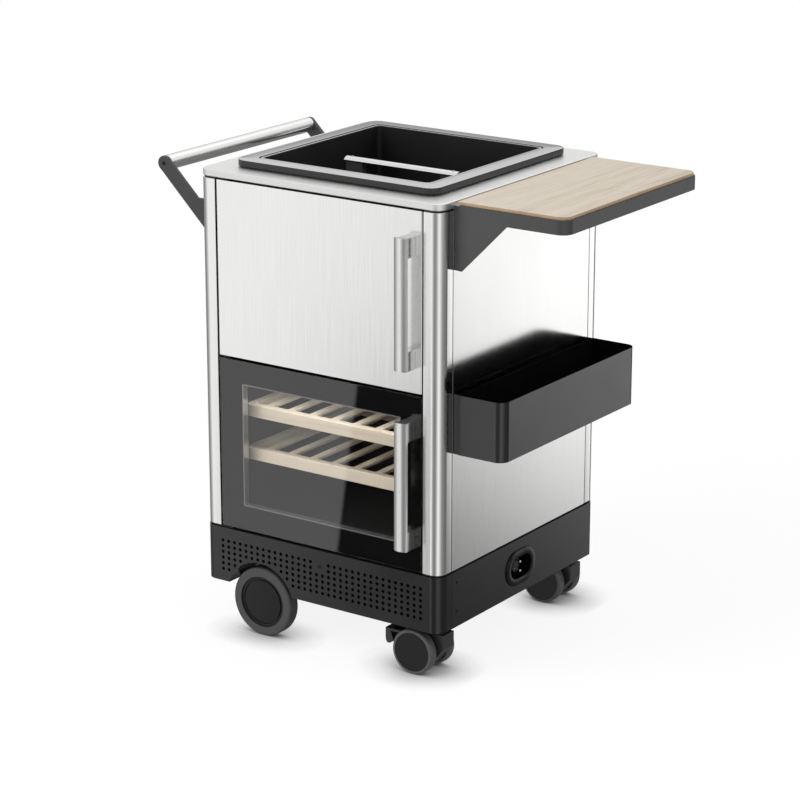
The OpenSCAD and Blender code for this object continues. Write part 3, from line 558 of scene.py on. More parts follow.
@dataclass(frozen=True)
class TintedGlass(Finish):
    """Thin grey glass: clear along the line of sight, with a mirror sheen at a slant."""

    slot: Slot = Slot.GLASS
    tint: Tone = (0.975, 0.975, 0.977)
    sheen: float = 1.68
    haze: float = 0.995
    cast: Pattern = even(9.0)

    def build(self, graph: Graph) -> bpy.types.Material:
        """Fills the finish's tree.

        Args:
            graph: The tree, with nothing but its output.

        Returns:
            The material.
        """
        colour = graph.tones(graph.noise(self.cast), self.tint, scaled(self.tint, self.haze),
                             start=0.3, end=0.7)
        clear = graph.node("BsdfTransparent", Color=colour)
        mirror = graph.node("BsdfGlossy", Color=WHITE, Roughness=0.0)
        facing = graph.math("SUBTRACT", 1.0, graph.node("NewGeometry").outputs["Backfacing"])
        slant = graph.times(graph.node("Fresnel", IOR=self.sheen).outputs[0], facing)
        return graph.end(graph.mix(slant, clear, mirror))


@dataclass(frozen=True)
class RibbedSteel(Finish):
    """The drying channel of a double glazing bar: dull steel with fine cross lines, their dark
    grooves painted shade.
    """

    pitch: float = 3.2 * MM
    # The groove tone is painted shade, the ridge tone the steel itself.
    groove: Tone = (0.22, 0.22, 0.22)
    ridge: Tone = (0.88, 0.88, 0.87)
    shine: float = 0.85

    def build(self, graph: Graph) -> bpy.types.Material:
        """Fills the finish's tree.

        Args:
            graph: The tree, with nothing but its output.

        Returns:
            The material.
        """
        wave = graph.node("TexWave", Vector=graph.place((1.0, 1.0, 1.0)),
                          Scale=math.tau / WAVE_RADIANS / self.pitch, Distortion=0.0)
        wave.bands_direction = "Y"
        lines = wave.outputs["Fac"]
        # The darker bands are painted shade in the grooves of ribs that are left flat.
        colour = graph.tones(lines, self.groove, self.ridge, start=0.45, end=0.75)
        return graph.surface(Base_Color=colour, Metallic=self.shine,
                             Roughness=graph.remap(lines, low=0.30, high=0.20))


def grey(value: float) -> Tone:
    """Returns a neutral colour."""
    return (value,) * 3


STEEL = BrushedSteel("brushed steel, upright", roughness=0.16)
STEEL_TOP = BrushedSteel("brushed steel, worktop", brush=Brush.ALONG_X, roughness=0.40)
STEEL_BAR = BrushedSteel("brushed steel, bars", tone=(0.74, 0.74, 0.73), roughness=0.2)
STEEL_ACROSS = BrushedSteel("brushed steel, tubes", brush=Brush.ALONG_Y, roughness=0.14)
STEEL_FIXINGS = BrushedSteel("zinc plated steel", tone=(0.62, 0.62, 0.61), roughness=0.32)
STEEL_PINS = BrushedSteel("plated pins", tone=(0.86, 0.85, 0.82), roughness=0.16)
# Painted sheen: the upward faces of the tub's dark plastic rim get a light grey metal finish.
RIM_TOP_SHEEN = BrushedSteel("rim top with painted sheen", brush=Brush.ALONG_X, tone=grey(0.60), roughness=0.09,
                       grain=0.01)
COAT = PowderCoat("black powder coat", roughness=0.15)
ARM_COAT = PowderCoat("dark grey powder coat", tone=(0.030, 0.030, 0.031), roughness=0.38)
# Painted light: a lighter copy of the black coat for the light that the shelf frame catches.
LIT_SHELF_COAT = PowderCoat("shelf powder coat", tone=(0.042, 0.042, 0.043), roughness=0.34)
BASKET_COAT = PowderCoat("basket powder coat", tone=(0.004, 0.004, 0.0042), roughness=0.20,
                         ior=1.65)
# Painted shade: the basket brim's upward faces get a darker, near non-reflecting copy of its coat.
SHADED_BRIM_COAT = PowderCoat("brim coat with painted shade", tone=grey(0.0015), roughness=0.8, ior=1.1)
# Painted shade: a black sheet behind the vents stands in for the dark inside of the plinth.
VENT_SHADE = MouldedPlastic("filter sheet", tone=grey(0.001), roughness=0.9, relief=0.0, ior=1.1)
BLACK = MouldedPlastic("black plastic", tone=(0.014, 0.014, 0.015), roughness=0.34)
POST_GREY = MouldedPlastic("dark grey plastic", tone=(0.035, 0.035, 0.036), roughness=0.36)
BLACK_GLOSS = MouldedPlastic("glossy black plastic", tone=(0.003, 0.003, 0.0032),
                             roughness=0.10, relief=0.0, ior=1.38)
RIM = MouldedPlastic("tub plastic", tone=(0.018, 0.018, 0.019), roughness=0.36, grain=1200.0,
                     relief=0.06)
TUB_WALL = MouldedPlastic("tub wall plastic", tone=(0.008, 0.008, 0.0085), roughness=0.42,
                          relief=0.06)
WHEEL_FACE = MouldedPlastic("wheel plastic", tone=(0.004, 0.004, 0.0045), roughness=0.3,
                            ior=1.33)
FRAME_BLACK = MouldedPlastic("window frame black", tone=grey(0.002), roughness=0.6, relief=0.0,
                             ior=1.1)
TREAD = MouldedPlastic("caster tread", tone=grey(0.07), roughness=0.5, relief=0.1)
LINER = MouldedPlastic("white liner", tone=grey(0.70), roughness=0.34)
DARK_LINER = MouldedPlastic("dark liner", tone=(0.022, 0.022, 0.023), roughness=0.42)
SEAL = SoftRubber("seal rubber", tone=grey(0.012), dust=grey(0.016))
TYRE = SoftRubber("tyre rubber", Slot.TYRE, tone=grey(0.045), dust=(0.055, 0.055, 0.054),
                  roughness=0.5)
OAK = Wood("oak veneer")
OAK_EDGE = Wood("oak edge band", light=(0.42, 0.30, 0.19), dark=(0.34, 0.235, 0.145),
                pore=(0.25, 0.17, 0.10))
BEECH_RAIL, BEECH_SLAT = (
    Wood(name, Slot.PALE_WOOD, light=(0.86, 0.75, 0.58), dark=(0.76, 0.64, 0.47),
         pore=(0.60, 0.49, 0.36), grain=grain)
    for name, grain in (("pale wood rail", Grain.ALONG_X), ("pale wood slat", Grain.ALONG_Y)))
GLASS = TintedGlass("tinted glass")
INNER_GLASS = TintedGlass("inner glass", sheen=1.12)
SPACER = RibbedSteel("glazing bar")


def clear_selection() -> None:
    """Deselects every object."""
    for other in bpy.context.selected_objects:
        other.select_set(False)


def everything(_: Vector, __: Vector) -> bool:
    """Passes every element of a mesh."""
    return True


class Workpiece:
    """A mesh on the bench, shaped with operators and then hung on a body of the frame."""

    def __init__(self, name: str, obj: bpy.types.Object) -> None:
        """Takes an object onto the bench.

        Args:
            name: The piece's name.
            obj: Its mesh object.
        """
        self.obj = obj
        self.slot = Slot.STEEL
        self.rename(name)

    @classmethod
    def block(cls, name: str, box: Box) -> "Workpiece":
        """Makes a cube fitted to a box.

        Args:
            name: The piece's name.
            box: The box.

        Returns:
            The block.
        """
        clear_selection()
        bpy.ops.mesh.primitive_cube_add(size=1.0, location=box.centre)
        piece = cls(name, bpy.context.active_object)
        piece.obj.scale = box.size
        return piece.settle()

    @classmethod
    def plate(cls, name: str, box: Box, radius: float, corners: Test = everything,
              segments: int = 10) -> "Workpiece":
        """Makes an upright plate with rounded corners.

        Args:
            name: The piece's name.
            box: The box that it fills.
            radius: The radius of its upright corners.
            corners: Tells which corners are rounded, from their place.
            segments: Facets of each corner.

        Returns:
            The plate.
        """
        clear_selection()
        bpy.ops.mesh.primitive_plane_add(size=1.0, location=(*box.centre.xy, box.low.z))
        piece = cls(name, bpy.context.active_object)
        piece.obj.scale = (*box.size.xy, 1.0)
        piece.settle()
        piece.pick(Pick.VERTS, corners).bevel(radius, segments, verts=True)
        piece.pick(Pick.FACES).extrude(UP * box.size.z)
        return piece.face_out()

    @classmethod
    def rod(cls, name: str, start: Vector, end: Vector, radius: float,
            segments: int = 64) -> "Workpiece":
        """Makes a round rod.

        Args:
            name: The piece's name.
            start: The middle of one end.
            end: The middle of the other end, further along X, Y or Z.
            radius: The rod's radius.
            segments: Facets round it.

        Returns:
            The rod.
        """
        clear_selection()
        along = end - start
        turn = UP.rotation_difference(along.normalized()).to_euler()
        bpy.ops.mesh.primitive_cylinder_add(vertices=segments, radius=radius, depth=along.length,
                                            location=(start + end) / 2, rotation=turn)
        return cls(name, bpy.context.active_object).settle()

    @classmethod
    def loft(cls, name: str, stations: Sequence[Station], place: Matrix,
             segments: int = 8) -> "Workpiece":
        """Makes a closed shell bridged through rounded rectangles.

        Args:
            name: The piece's name.
            stations: The rectangles in order, from one closed end to the other.
            place: Moves the shell from its own axes, with the stations' height along Z.
            segments: Facets of each corner.

        Returns:
            The shell.
        """
        loops = []
        for index, station in enumerate(stations):
            clear_selection()
            bpy.ops.mesh.primitive_plane_add(size=1.0, location=(0, 0, station.height))
            loop = cls(f"{name}_{index}", bpy.context.active_object)
            loop.obj.scale = (station.width, station.depth, 1.0)
            loop.settle().pick(Pick.VERTS).bevel(station.radius, segments, verts=True)
            loop.pick(Pick.FACES)
            if 0 < index < len(stations) - 1:
                with loop.editing():
                    bpy.ops.mesh.delete(type="ONLY_FACE")
            group = loop.obj.vertex_groups.new(name=f"loop{index}")
            group.add(list(range(len(loop.obj.data.vertices))), 1.0, "REPLACE")
            loops.append(loop)
        piece = loops[0].join(*loops[1:]).rename(name)
        for index, (lower, upper) in enumerate(zip(stations, stations[1:])):
            piece.pick_groups(f"loop{index}", f"loop{index + 1}")
            with piece.editing():
                bpy.ops.mesh.select_mode(type="EDGE")
                if abs(upper.height - lower.height) < EPS:
                    bpy.ops.mesh.fill(use_beauty=True)
                else:
                    bpy.ops.mesh.bridge_edge_loops()
        piece.obj.vertex_groups.clear()
        piece.obj.matrix_world = place
        return piece.settle().face_out()

    @classmethod
    def copy_of(cls, node: str) -> "Workpiece":
        """Copies a CAD node's mesh, merged and with its flat faces made whole.

        Args:
            node: The CAD node.

        Returns:
            The copy.
        """
        clear_selection()
        obj = bpy.data.objects.new(node + "_dressed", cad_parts[node].data.copy())
        bpy.context.scene.collection.objects.link(obj)
        obj.data.materials.clear()
        piece = cls(node + "_dressed", obj).pick(Pick.FACES)
        with piece.editing():
            bpy.ops.mesh.customdata_custom_splitnormals_clear()
            bpy.ops.mesh.remove_doubles(threshold=0.01 * MM)
            bpy.ops.mesh.dissolve_limited(angle_limit=math.radians(0.5))
        return piece

    def rename(self, name: str) -> "Workpiece":
        """Gives the piece its own name."""
        self.name = self.obj.name = self.obj.data.name = name
        return self

    def activate(self) -> None:
        """Makes the piece the only selected and the active object."""
        clear_selection()
        self.obj.select_set(True)
        bpy.context.view_layer.objects.active = self.obj

    def settle(self) -> "Workpiece":
        """Applies the object's place, turn and scale to its mesh.

        Returns:
            The piece itself.
        """
        self.activate()
        bpy.ops.object.transform_apply(location=True, rotation=True, scale=True)
        return self

    @contextmanager
    def editing(self) -> Iterator[None]:
        """Holds the piece in edit mode."""
        self.activate()
        bpy.ops.object.mode_set(mode="EDIT")
        try:
            yield
        finally:
            bpy.ops.object.mode_set(mode="OBJECT")

    def mark(self, kind: Pick, chosen: Sequence[bool]) -> "Workpiece":
        """Selects elements of one kind and nothing else.

        Args:
            kind: Whether vertices, edges or faces are selected.
            chosen: Whether each of them is.

        Returns:
            The piece itself.
        """
        for other in Pick:
            elements = getattr(self.obj.data, other.value)
            marks = chosen if other is kind else [False] * len(elements)
            elements.foreach_set("select", marks)
        bpy.context.tool_settings.mesh_select_mode = [other is kind for other in Pick]
        return self

    def pick(self, kind: Pick, test: Test = everything) -> "Workpiece":
        """Selects by place and direction.

        Args:
            kind: Whether vertices, edges or faces are selected.
            test: Takes an element's middle and its normal, or an edge's direction.

        Returns:
            The piece itself.
        """
        mesh = self.obj.data
        if kind is Pick.VERTS:
            facts = [(v.co, v.normal) for v in mesh.vertices]
        elif kind is Pick.FACES:
            facts = [(p.center, p.normal) for p in mesh.polygons]
        else:
            ends = [[mesh.vertices[i].co for i in edge.vertices] for edge in mesh.edges]
            facts = [((a + b) / 2, (b - a).normalized()) for a, b in ends]
        return self.mark(kind, [bool(test(*fact)) for fact in facts])

    def pick_facing(self, way: Vector) -> "Workpiece":
        """Selects the flat faces that look one way."""
        return self.pick(Pick.FACES, lambda _, normal: normal.dot(way) > ALIGNED)

    def pick_groups(self, *names: str) -> "Workpiece":
        """Selects the vertices of some vertex groups.

        Args:
            names: The groups' names.

        Returns:
            The piece itself.
        """
        wanted = {self.obj.vertex_groups[name].index for name in names}
        return self.mark(Pick.VERTS, [any(g.group in wanted for g in v.groups)
                                      for v in self.obj.data.vertices])

    def extrude(self, step: Vector) -> "Workpiece":
        """Extrudes what is selected.

        Args:
            step: How far and which way.

        Returns:
            The piece itself.
        """
        with self.editing():
            bpy.ops.mesh.extrude_region_move(TRANSFORM_OT_translate={"value": step})
        return self

    def inset(self, width: float, sink: Vector | None = None, rise: float = 0.0) -> "Workpiece":
        """Insets the selected faces and moves the inner ones.

        Args:
            width: How far the inner faces lie inside the outer edge.
            sink: Where the inner faces are then extruded, if anywhere.
            rise: How far the inner faces slope out over that width.

        Returns:
            The piece itself.
        """
        with self.editing():
            bpy.ops.mesh.inset(thickness=width, depth=rise, use_even_offset=True)
        return self if sink is None else self.extrude(sink)

    def bevel(self, width: float, segments: int = 3, verts: bool = False) -> "Workpiece":
        """Rounds the selected edges.

        Args:
            width: The width of the rounding.
            segments: Its facets.
            verts: Whether the selected corners of a flat face are rounded instead.

        Returns:
            The piece itself.
        """
        with self.editing():
            bpy.ops.mesh.bevel(offset=width, offset_type="OFFSET", segments=segments, profile=0.5,
                               affect="VERTICES" if verts else "EDGES", clamp_overlap=True)
        return self

    def trim(self, point: Vector, normal: Vector) -> "Workpiece":
        """Cuts off what lies past a plane and closes the cut.

        Args:
            point: A point of the plane.
            normal: The side of the plane that goes.

        Returns:
            The piece itself.
        """
        self.pick(Pick.FACES)
        with self.editing():
            bpy.ops.mesh.bisect(plane_co=point, plane_no=normal, use_fill=True, clear_outer=True)
        return self

    def tunnel(self, centre: Vector, wall: float, reach: float = 5 * MM) -> "Workpiece":
        """Opens the piece from its front face to its back face.

        Args:
            centre: The middle of the opening.
            wall: The width of the frame that is left round it.
            reach: How far from there the middles of the two inner faces may lie.

        Returns:
            The piece itself.
        """
        for way in (FRONT, -FRONT):
            self.pick_facing(way).inset(wall)
        self.pick(Pick.FACES, lambda place, normal: abs(normal.y) > ALIGNED
                  and (place - centre).xz.length < reach)
        with self.editing():
            bpy.ops.mesh.bridge_edge_loops()
        return self.face_out()

    def face_out(self) -> "Workpiece":
        """Turns every face outwards.

        Returns:
            The piece itself.
        """
        self.pick(Pick.FACES)
        with self.editing():
            bpy.ops.mesh.remove_doubles(threshold=0.002 * MM)
            bpy.ops.mesh.normals_make_consistent(inside=False)
        return self

    def modify(self, kind: str, **settings: object) -> "Workpiece":
        """Adds a modifier and applies it.

        Args:
            kind: The modifier's type.
            settings: Its settings.

        Returns:
            The piece itself.
        """
        self.activate()
        modifier = self.obj.modifiers.new(kind.title(), kind)
        for key, value in settings.items():
            setattr(modifier, key, value)
        bpy.ops.object.modifier_apply(modifier=modifier.name)
        return self

    def soften(self, width: float, segments: int = 2, angle: float = 35.0) -> "Workpiece":
        """Rounds every edge that turns by more than an angle."""
        return self.modify("BEVEL", width=width, segments=segments, limit_method="ANGLE",
                           angle_limit=math.radians(angle), use_clamp_overlap=True)

    def carve(self, cutter: "Workpiece") -> "Workpiece":
        """Cuts another piece out of this one.

        Args:
            cutter: The other piece, which is taken off the bench.

        Returns:
            The piece itself.
        """
        self.modify("BOOLEAN", operation="DIFFERENCE", object=cutter.obj, solver="EXACT")
        bpy.data.objects.remove(cutter.obj)
        return self

    def join(self, *others: "Workpiece") -> "Workpiece":
        """Takes other pieces into this one.

        Args:
            others: The pieces.

        Returns:
            The piece itself.
        """
        self.activate()
        for other in others:
            other.obj.select_set(True)
        bpy.ops.object.join()
        return self

    def copy(self, name: str, step: Vector) -> "Workpiece":
        """Copies the piece with its mesh.

        Args:
            name: The copy's name.
            step: How far the copy is moved.

        Returns:
            The copy.
        """
        obj = self.obj.copy()
        obj.data = self.obj.data.copy()
        bpy.context.scene.collection.objects.link(obj)
        obj.location = step
        return Workpiece(name, obj).settle()

    def dress(self, finish: Finish) -> "Workpiece":
        """Gives the whole piece one finish.

        Args:
            finish: The finish, whose slot the piece takes too.

        Returns:
            The piece itself.
        """
        self.slot = finish.slot
        give_finish(self.obj, finish)
        return self

    def dress_faces(self, finish: Finish, test: Test) -> "Workpiece":
        """Gives some faces another finish.

        Args:
            finish: The finish.
            test: Tells which faces, from their middle and normal.

        Returns:
            The piece itself.
        """
        self.obj.data.materials.append(finish.material())
        index = len(self.obj.data.materials) - 1
        for polygon in self.obj.data.polygons:
            if test(polygon.center, polygon.normal):
                polygon.material_index = index
        return self

    def smooth(self, angle: float = 38.0) -> "Workpiece":
        """Shades the piece smooth, with its flat faces kept flat.

        Args:
            angle: The largest turn that is shaded smooth, in degrees.

        Returns:
            The piece itself.
        """
        self.activate()
        bpy.ops.object.shade_smooth_by_angle(angle=math.radians(angle))
        return self.modify("WEIGHTED_NORMAL", keep_sharp=True, weight=50)

    def hang(self, body: str, *nodes: str, slot: Slot | None = None) -> None:
        """Hangs the finished piece on a body.

        Args:
            body: The body's name.
            nodes: The CAD nodes that it stands for.
            slot: The record's slot, where it isn't the finish's own; not used.
        """
        self.smooth()
        slot = slot or self.slot
        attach(self.obj, body)
        if nodes:
            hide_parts(*nodes)
        LOG.info("piece %s on %s: %d faces", self.name, body, len(self.obj.data.polygons))


def give_finish(obj: bpy.types.Object, finish: Finish) -> None:
    """Makes a finish the only one of an object."""
    obj.data.materials.clear()
    obj.data.materials.append(finish.material())


def dress_nodes(finish: Finish, *nodes: str) -> None:
    """Gives CAD nodes that keep their shape a finish of their own.

    Args:
        finish: The finish.
        nodes: The CAD nodes.
    """
    for node in nodes:
        give_finish(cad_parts[node], finish)
        LOG.info("node %s: %s", node, finish.name)


def soft_copy(node: str, body: str, finish: Finish, edge: float, segments: int = 2) -> None:
    """Stands a copy with rounded edges in for a CAD node.

    Args:
        node: The CAD node.
        body: The body that it rides on.
        finish: The finish.
        edge: The width of its rounded edges.
        segments: Facets of each edge.
    """
    Workpiece.copy_of(node).soften(edge, segments).dress(finish).hang(body, node)


@dataclass(frozen=True)
class SocketScrew:
    """A round screw head with a hexagonal socket, seated at its foot."""

    name: str
    foot: Vector
    along: Vector
    radius: float
    height: float
    body: str
    finish: Finish
    slot: Slot
    rim_share: float = 0.8
    edge_share: float = 0.35
    socket_share: float = 0.5
    socket_depth: float = 0.55

    def build(self) -> None:
        """Builds the head and cuts its socket."""
        rise = self.along * self.height
        top = self.foot + rise
        head = Workpiece.rod(self.name, self.foot, top, self.radius, segments=32)
        head.pick(Pick.EDGES, lambda place, _: (place - top).dot(self.along) > -EPS
                  and (place - top).length > self.radius * self.rim_share)
        head.bevel(min(self.radius, self.height) * self.edge_share, 3)
        head.carve(Workpiece.rod(self.name + "_socket", top - rise * self.socket_depth,
                                 top + rise, self.radius * self.socket_share, segments=6))
        head.dress(self.finish).hang(self.body, slot=self.slot)


class Assembly:
    """Pieces that are built together, on the cabinet unless a kind says otherwise."""

    body: ClassVar[str] = Body.CABINET.value

    def build(self) -> None:
        """Builds and dresses the pieces."""
        raise NotImplementedError


@dataclass
class CabinetShell(Assembly):
    """The steel outside of the cabinet: corner posts, panels, seals and worktop."""

    corner_radius: float = 22 * MM
    corner_facets: int = 16
    fold: float = 0.7 * MM
    slotted_fold: float = 0.4 * MM
    worktop_edge: float = 1.8 * MM
    rim_overlap: float = 34 * MM
    hole_radius: float = 16 * MM
    seal_depth: float = 1.4 * MM
    seal_recess: float = 0.5 * MM

    def build(self) -> None:
        """Builds and dresses the shell."""
        self.posts()
        self.panels()
        self.seals()
        self.worktop()
        dress_nodes(COAT, "top_frame", "base_frame", "hinge_plates")

    def posts(self) -> None:
        """Builds the four corner posts, each rounded on its outer corner."""
        middle = Box.of("worktop").centre
        for end in ("front_left", "front_right", "rear_left", "rear_right"):
            node = "corner_post_" + end
            box = Box.of(node)

            def outer(place: Vector, _: Vector, box: Box = box) -> bool:
                """Tells the corner that lies furthest from the cabinet's middle."""
                return all(abs(place[i] - middle[i]) > abs(box.centre[i] - middle[i])
                           for i in (0, 1))

            post = Workpiece.plate(f"post_{end}", box, self.corner_radius, outer,
                                   self.corner_facets)
            post.soften(self.fold).dress(STEEL).hang(self.body, node)

    def panels(self) -> None:
        """Builds the plain panels, and rounds the edges of the one with hanging slots."""
        for side, node in (("left", "side_panel_left"), ("back", "back_panel")):
            panel = Workpiece.block(f"panel_{side}", Box.of(node))
            panel.soften(self.fold).dress(STEEL).hang(self.body, node)
        soft_copy("side_panel_right", self.body, STEEL, self.slotted_fold, 1)

    def seals(self) -> None:
        """Fills the seams between posts and panels with black strips set back from the steel."""
        boxes = []
        for side, way in (("left", -1.0), ("right", 1.0)):
            panel = Box.of("side_panel_" + side)
            front, rear = (Box.of(f"corner_post_{end}_{side}") for end in ("front", "rear"))
            face = (panel.high.x if way > 0 else panel.low.x) - way * self.seal_recess
            across = sorted((face, face - way * self.seal_depth))
            for seam in ((front.high.y, panel.low.y), (panel.high.y, rear.low.y)):
                boxes.append(Box.span(across, seam, (panel.low.z, panel.high.z)))
        back = Box.of("back_panel")
        left, right = (Box.of("corner_post_rear_" + side) for side in ("left", "right"))
        face = back.high.y - self.seal_recess
        for seam in ((left.high.x, back.low.x), (back.high.x, right.low.x)):
            boxes.append(Box.span(seam, (face - self.seal_depth, face),
                                  (back.low.z, back.high.z)))
        strips = [Workpiece.block(f"seal_{index}", box) for index, box in enumerate(boxes)]
        strips[0].join(*strips[1:]).rename("seam_seals").dress(SEAL).hang(self.body)

    def worktop(self) -> None:
        """Builds the worktop with the opening that its tub hangs in."""
        top = Workpiece.plate("worktop_sheet", Box.of("worktop"), self.corner_radius,
                              segments=self.corner_facets)
        hole = Box.of("tub").grown(-self.rim_overlap, -self.rim_overlap, 0)
        top.carve(Workpiece.plate("tub_hole", hole, self.hole_radius))
        top.soften(self.worktop_edge, 3).dress(STEEL_TOP).hang(self.body, "worktop")


@dataclass
class Tub(Assembly):
    """The ice tub: a broad rim, a groove, a lower lip and plain walls."""

    rim_radius: float = 26 * MM
    rim_width: float = 40 * MM
    rim_thick: float = 13 * MM
    rim_edge: float = 2.4 * MM
    rim_foot: float = 1 * MM
    wall: float = 3 * MM
    outer_radius: float = 13 * MM
    ledge: float = 8 * MM
    ledge_radius: float = 14.4 * MM
    ledge_edge: float = 0.6 * MM
    groove: float = 2.2 * MM
    groove_deep: float = 5 * MM
    lip_radius: float = 12.8 * MM
    lip_drop: float = 0.8 * MM
    lip_edge: float = 0.5 * MM
    well_radius: float = 10 * MM
    well_edge: float = 0.8 * MM
    corner_high: float = 5 * MM
    corner_low: float = 1.4 * MM
    corner_step: float = 1.5 * MM
    corner_reach: float = 5 * MM
    rim_round: float = 0.3
    top_margin: float = 0.1 * MM
    wall_margin: float = 1 * MM

    def build(self) -> None:
        """Builds the tub and dresses its seal."""
        box = Box.of("tub")
        inside = box.size.x - 2 * self.rim_width
        place = Matrix.Translation((*box.centre.xy, box.low.z))
        shell = Workpiece.loft("tub_shell", self.stations(box, inside), place, segments=10)
        top = box.high.z - self.lip_drop - self.lip_edge + self.top_margin
        reach = inside / 2 + self.wall_margin
        # The rim's upward faces get the light grey metal finish as a painted sheen.
        shell.dress(RIM).dress_faces(RIM_TOP_SHEEN, lambda at, normal: normal.z > 0.9 and at.z > top)
        shell.dress_faces(TUB_WALL, lambda at, _: at.z < top and max(
            abs(at.x - box.centre.x), abs(at.y - box.centre.y)) < reach)
        shell.hang(self.body, "tub")
        dress_nodes(SEAL, "tub_seal")

    def stations(self, box: Box, inside: float) -> list[Station]:
        """Lists the loft's stations up the outside, over the rim and down the inside.

        Args:
            box: The tub's box.
            inside: The well's width.

        Returns:
            The stations.
        """
        def square(side: float, radius: float) -> Ring:
            """Returns a square ring."""
            return Ring(side, side, radius)

        height = box.size.z
        under = height - self.rim_thick
        groove_floor = height - self.groove_deep
        lip_top = height - self.lip_drop
        outer = square(inside + 2 * self.wall, self.outer_radius)
        rim = square(box.size.x, self.rim_radius)
        ledge = square(inside + 2 * self.ledge, self.ledge_radius)
        lip = square(ledge.width - 2 * self.groove, self.lip_radius)
        well = square(inside, self.well_radius)
        return [
            outer.at(0.0),
            outer.at(under),
            rim.at(under, -self.rim_foot),
            rim.at(under + self.rim_foot),
            rim.at(height - self.rim_edge),
            rim.at(height - self.rim_round * self.rim_edge, -self.rim_round * self.rim_edge),
            rim.at(height, -self.rim_edge),
            ledge.at(height, self.ledge_edge),
            ledge.at(height - self.ledge_edge),
            ledge.at(groove_floor),
            lip.at(groove_floor),
            lip.at(lip_top - self.lip_edge),
            lip.at(lip_top, -self.lip_edge),
            well.at(lip_top, self.well_edge),
            well.at(lip_top - self.well_edge),
            well.at(self.wall + self.corner_high),
            well.at(self.wall + self.corner_low, -self.corner_step),
            well.at(self.wall, -self.corner_reach),
        ]


@dataclass
class LiftOutTray(Assembly):
    """The drained tray with its two posts and the crowned steel grip."""

    tray_edge: float = 1.0 * MM
    post_edge: float = 1.2 * MM
    grip_edge: float = 0.8 * MM
    screw_inset: float = 13 * MM
    screw_radius: float = 2.6 * MM
    screw_height: float = 0.9 * MM
    screw_sunk: float = 0.6 * MM
    body: ClassVar[str] = Body.TRAY.value

    def build(self) -> None:
        """Builds the grip and its screws and dresses the tray."""
        dress_nodes(TUB_WALL, "ice_tray")
        soft_copy("tray_edge", self.body, TUB_WALL, self.tray_edge)
        soft_copy("grip_posts", self.body, POST_GREY, self.post_edge)
        box = Box.of("grip_bar")
        self.grip(box)
        for index, x in enumerate((box.low.x + self.screw_inset, box.high.x - self.screw_inset)):
            foot = Vector((x, box.centre.y, box.high.z - self.screw_sunk))
            SocketScrew(f"grip_screw_{index}", foot, UP, self.screw_radius,
                        self.screw_height + self.screw_sunk, self.body, STEEL_FIXINGS,
                        Slot.STEEL).build()

    def grip(self, box: Box) -> None:
        """Builds the grip bar, round on top and flat below.

        Args:
            box: The bar's box.
        """
        radius = arc_radius(box.size.y / 2, box.size.z)
        start = Vector((box.low.x, box.centre.y, box.high.z - radius))
        bar = Workpiece.rod("grip", start, start + RIGHT * box.size.x, radius, segments=160)
        bar.trim(box.low, -UP).soften(self.grip_edge, 3)
        bar.dress(STEEL_BAR).hang(self.body, "grip_bar")


@dataclass
class Handle:
    """A door handle: a bar with a crowned front on two square feet."""

    name: str
    node: str
    body: str
    bar_depth: float = 8.5 * MM
    crown: float = 4 * MM
    foot_height: float = 38 * MM
    foot_set: float = 6 * MM
    edge: float = 0.9 * MM

    def build(self) -> None:
        """Builds the bar and its feet as one piece."""
        box = Box.of(self.node)
        radius = arc_radius(box.size.x / 2, self.crown)
        start = Vector((box.centre.x, box.low.y + radius, box.low.z))
        bar = Workpiece.rod(self.name, start, start + UP * box.size.z, radius, segments=160)
        bar.trim(box.low, -RIGHT).trim(box.high, RIGHT).trim(box.low - FRONT * self.crown, -FRONT)
        bar.pick_facing(-FRONT).extrude(-FRONT * (self.bar_depth - self.crown))
        bar.face_out().soften(self.edge, 3, 50.0)
        feet = []
        for end, z in (("low", box.low.z), ("high", box.high.z - self.foot_height)):
            foot = Box.span((box.low.x + self.foot_set, box.high.x),
                            (box.low.y + (self.crown + self.bar_depth) / 2, box.high.y),
                            (z, z + self.foot_height))
            feet.append(Workpiece.block(f"{self.name}_foot_{end}", foot).soften(self.edge))
        bar.join(*feet).dress(STEEL_BAR).hang(self.body, self.node)


@dataclass
class UpperDoor(Assembly):
    """The cupboard door: a folded steel tray round a moulded liner."""

    skin: float = 1.5 * MM
    front_radius: float = 2.5 * MM
    edge: float = 0.8 * MM
    seal_edge: float = 2.5 * MM
    body: ClassVar[str] = Body.UPPER_DOOR.value

    def build(self) -> None:
        """Builds the skin and the handle and dresses what they carry."""
        box = Box.of("upper_door_skin")
        door = Workpiece.block("door_skin", box)
        door.pick(Pick.EDGES, lambda place, way: abs(way.z) > 0.9 and place.y < box.centre.y)
        door.bevel(self.front_radius, 5)
        door.pick(Pick.EDGES, lambda place, way: abs(way.z) < 0.1
                  and place.y < box.low.y + self.front_radius)
        door.bevel(self.edge, 2)
        door.pick_facing(-FRONT).inset(self.skin, FRONT * (box.size.y - self.skin))
        door.face_out().dress(STEEL).hang(self.body, "upper_door_skin")
        dress_nodes(LINER, "upper_door_core")
        soft_copy("upper_door_gasket", self.body, SEAL, self.seal_edge, 3)
        Handle("handle_upper", "upper_handle", self.body).build()


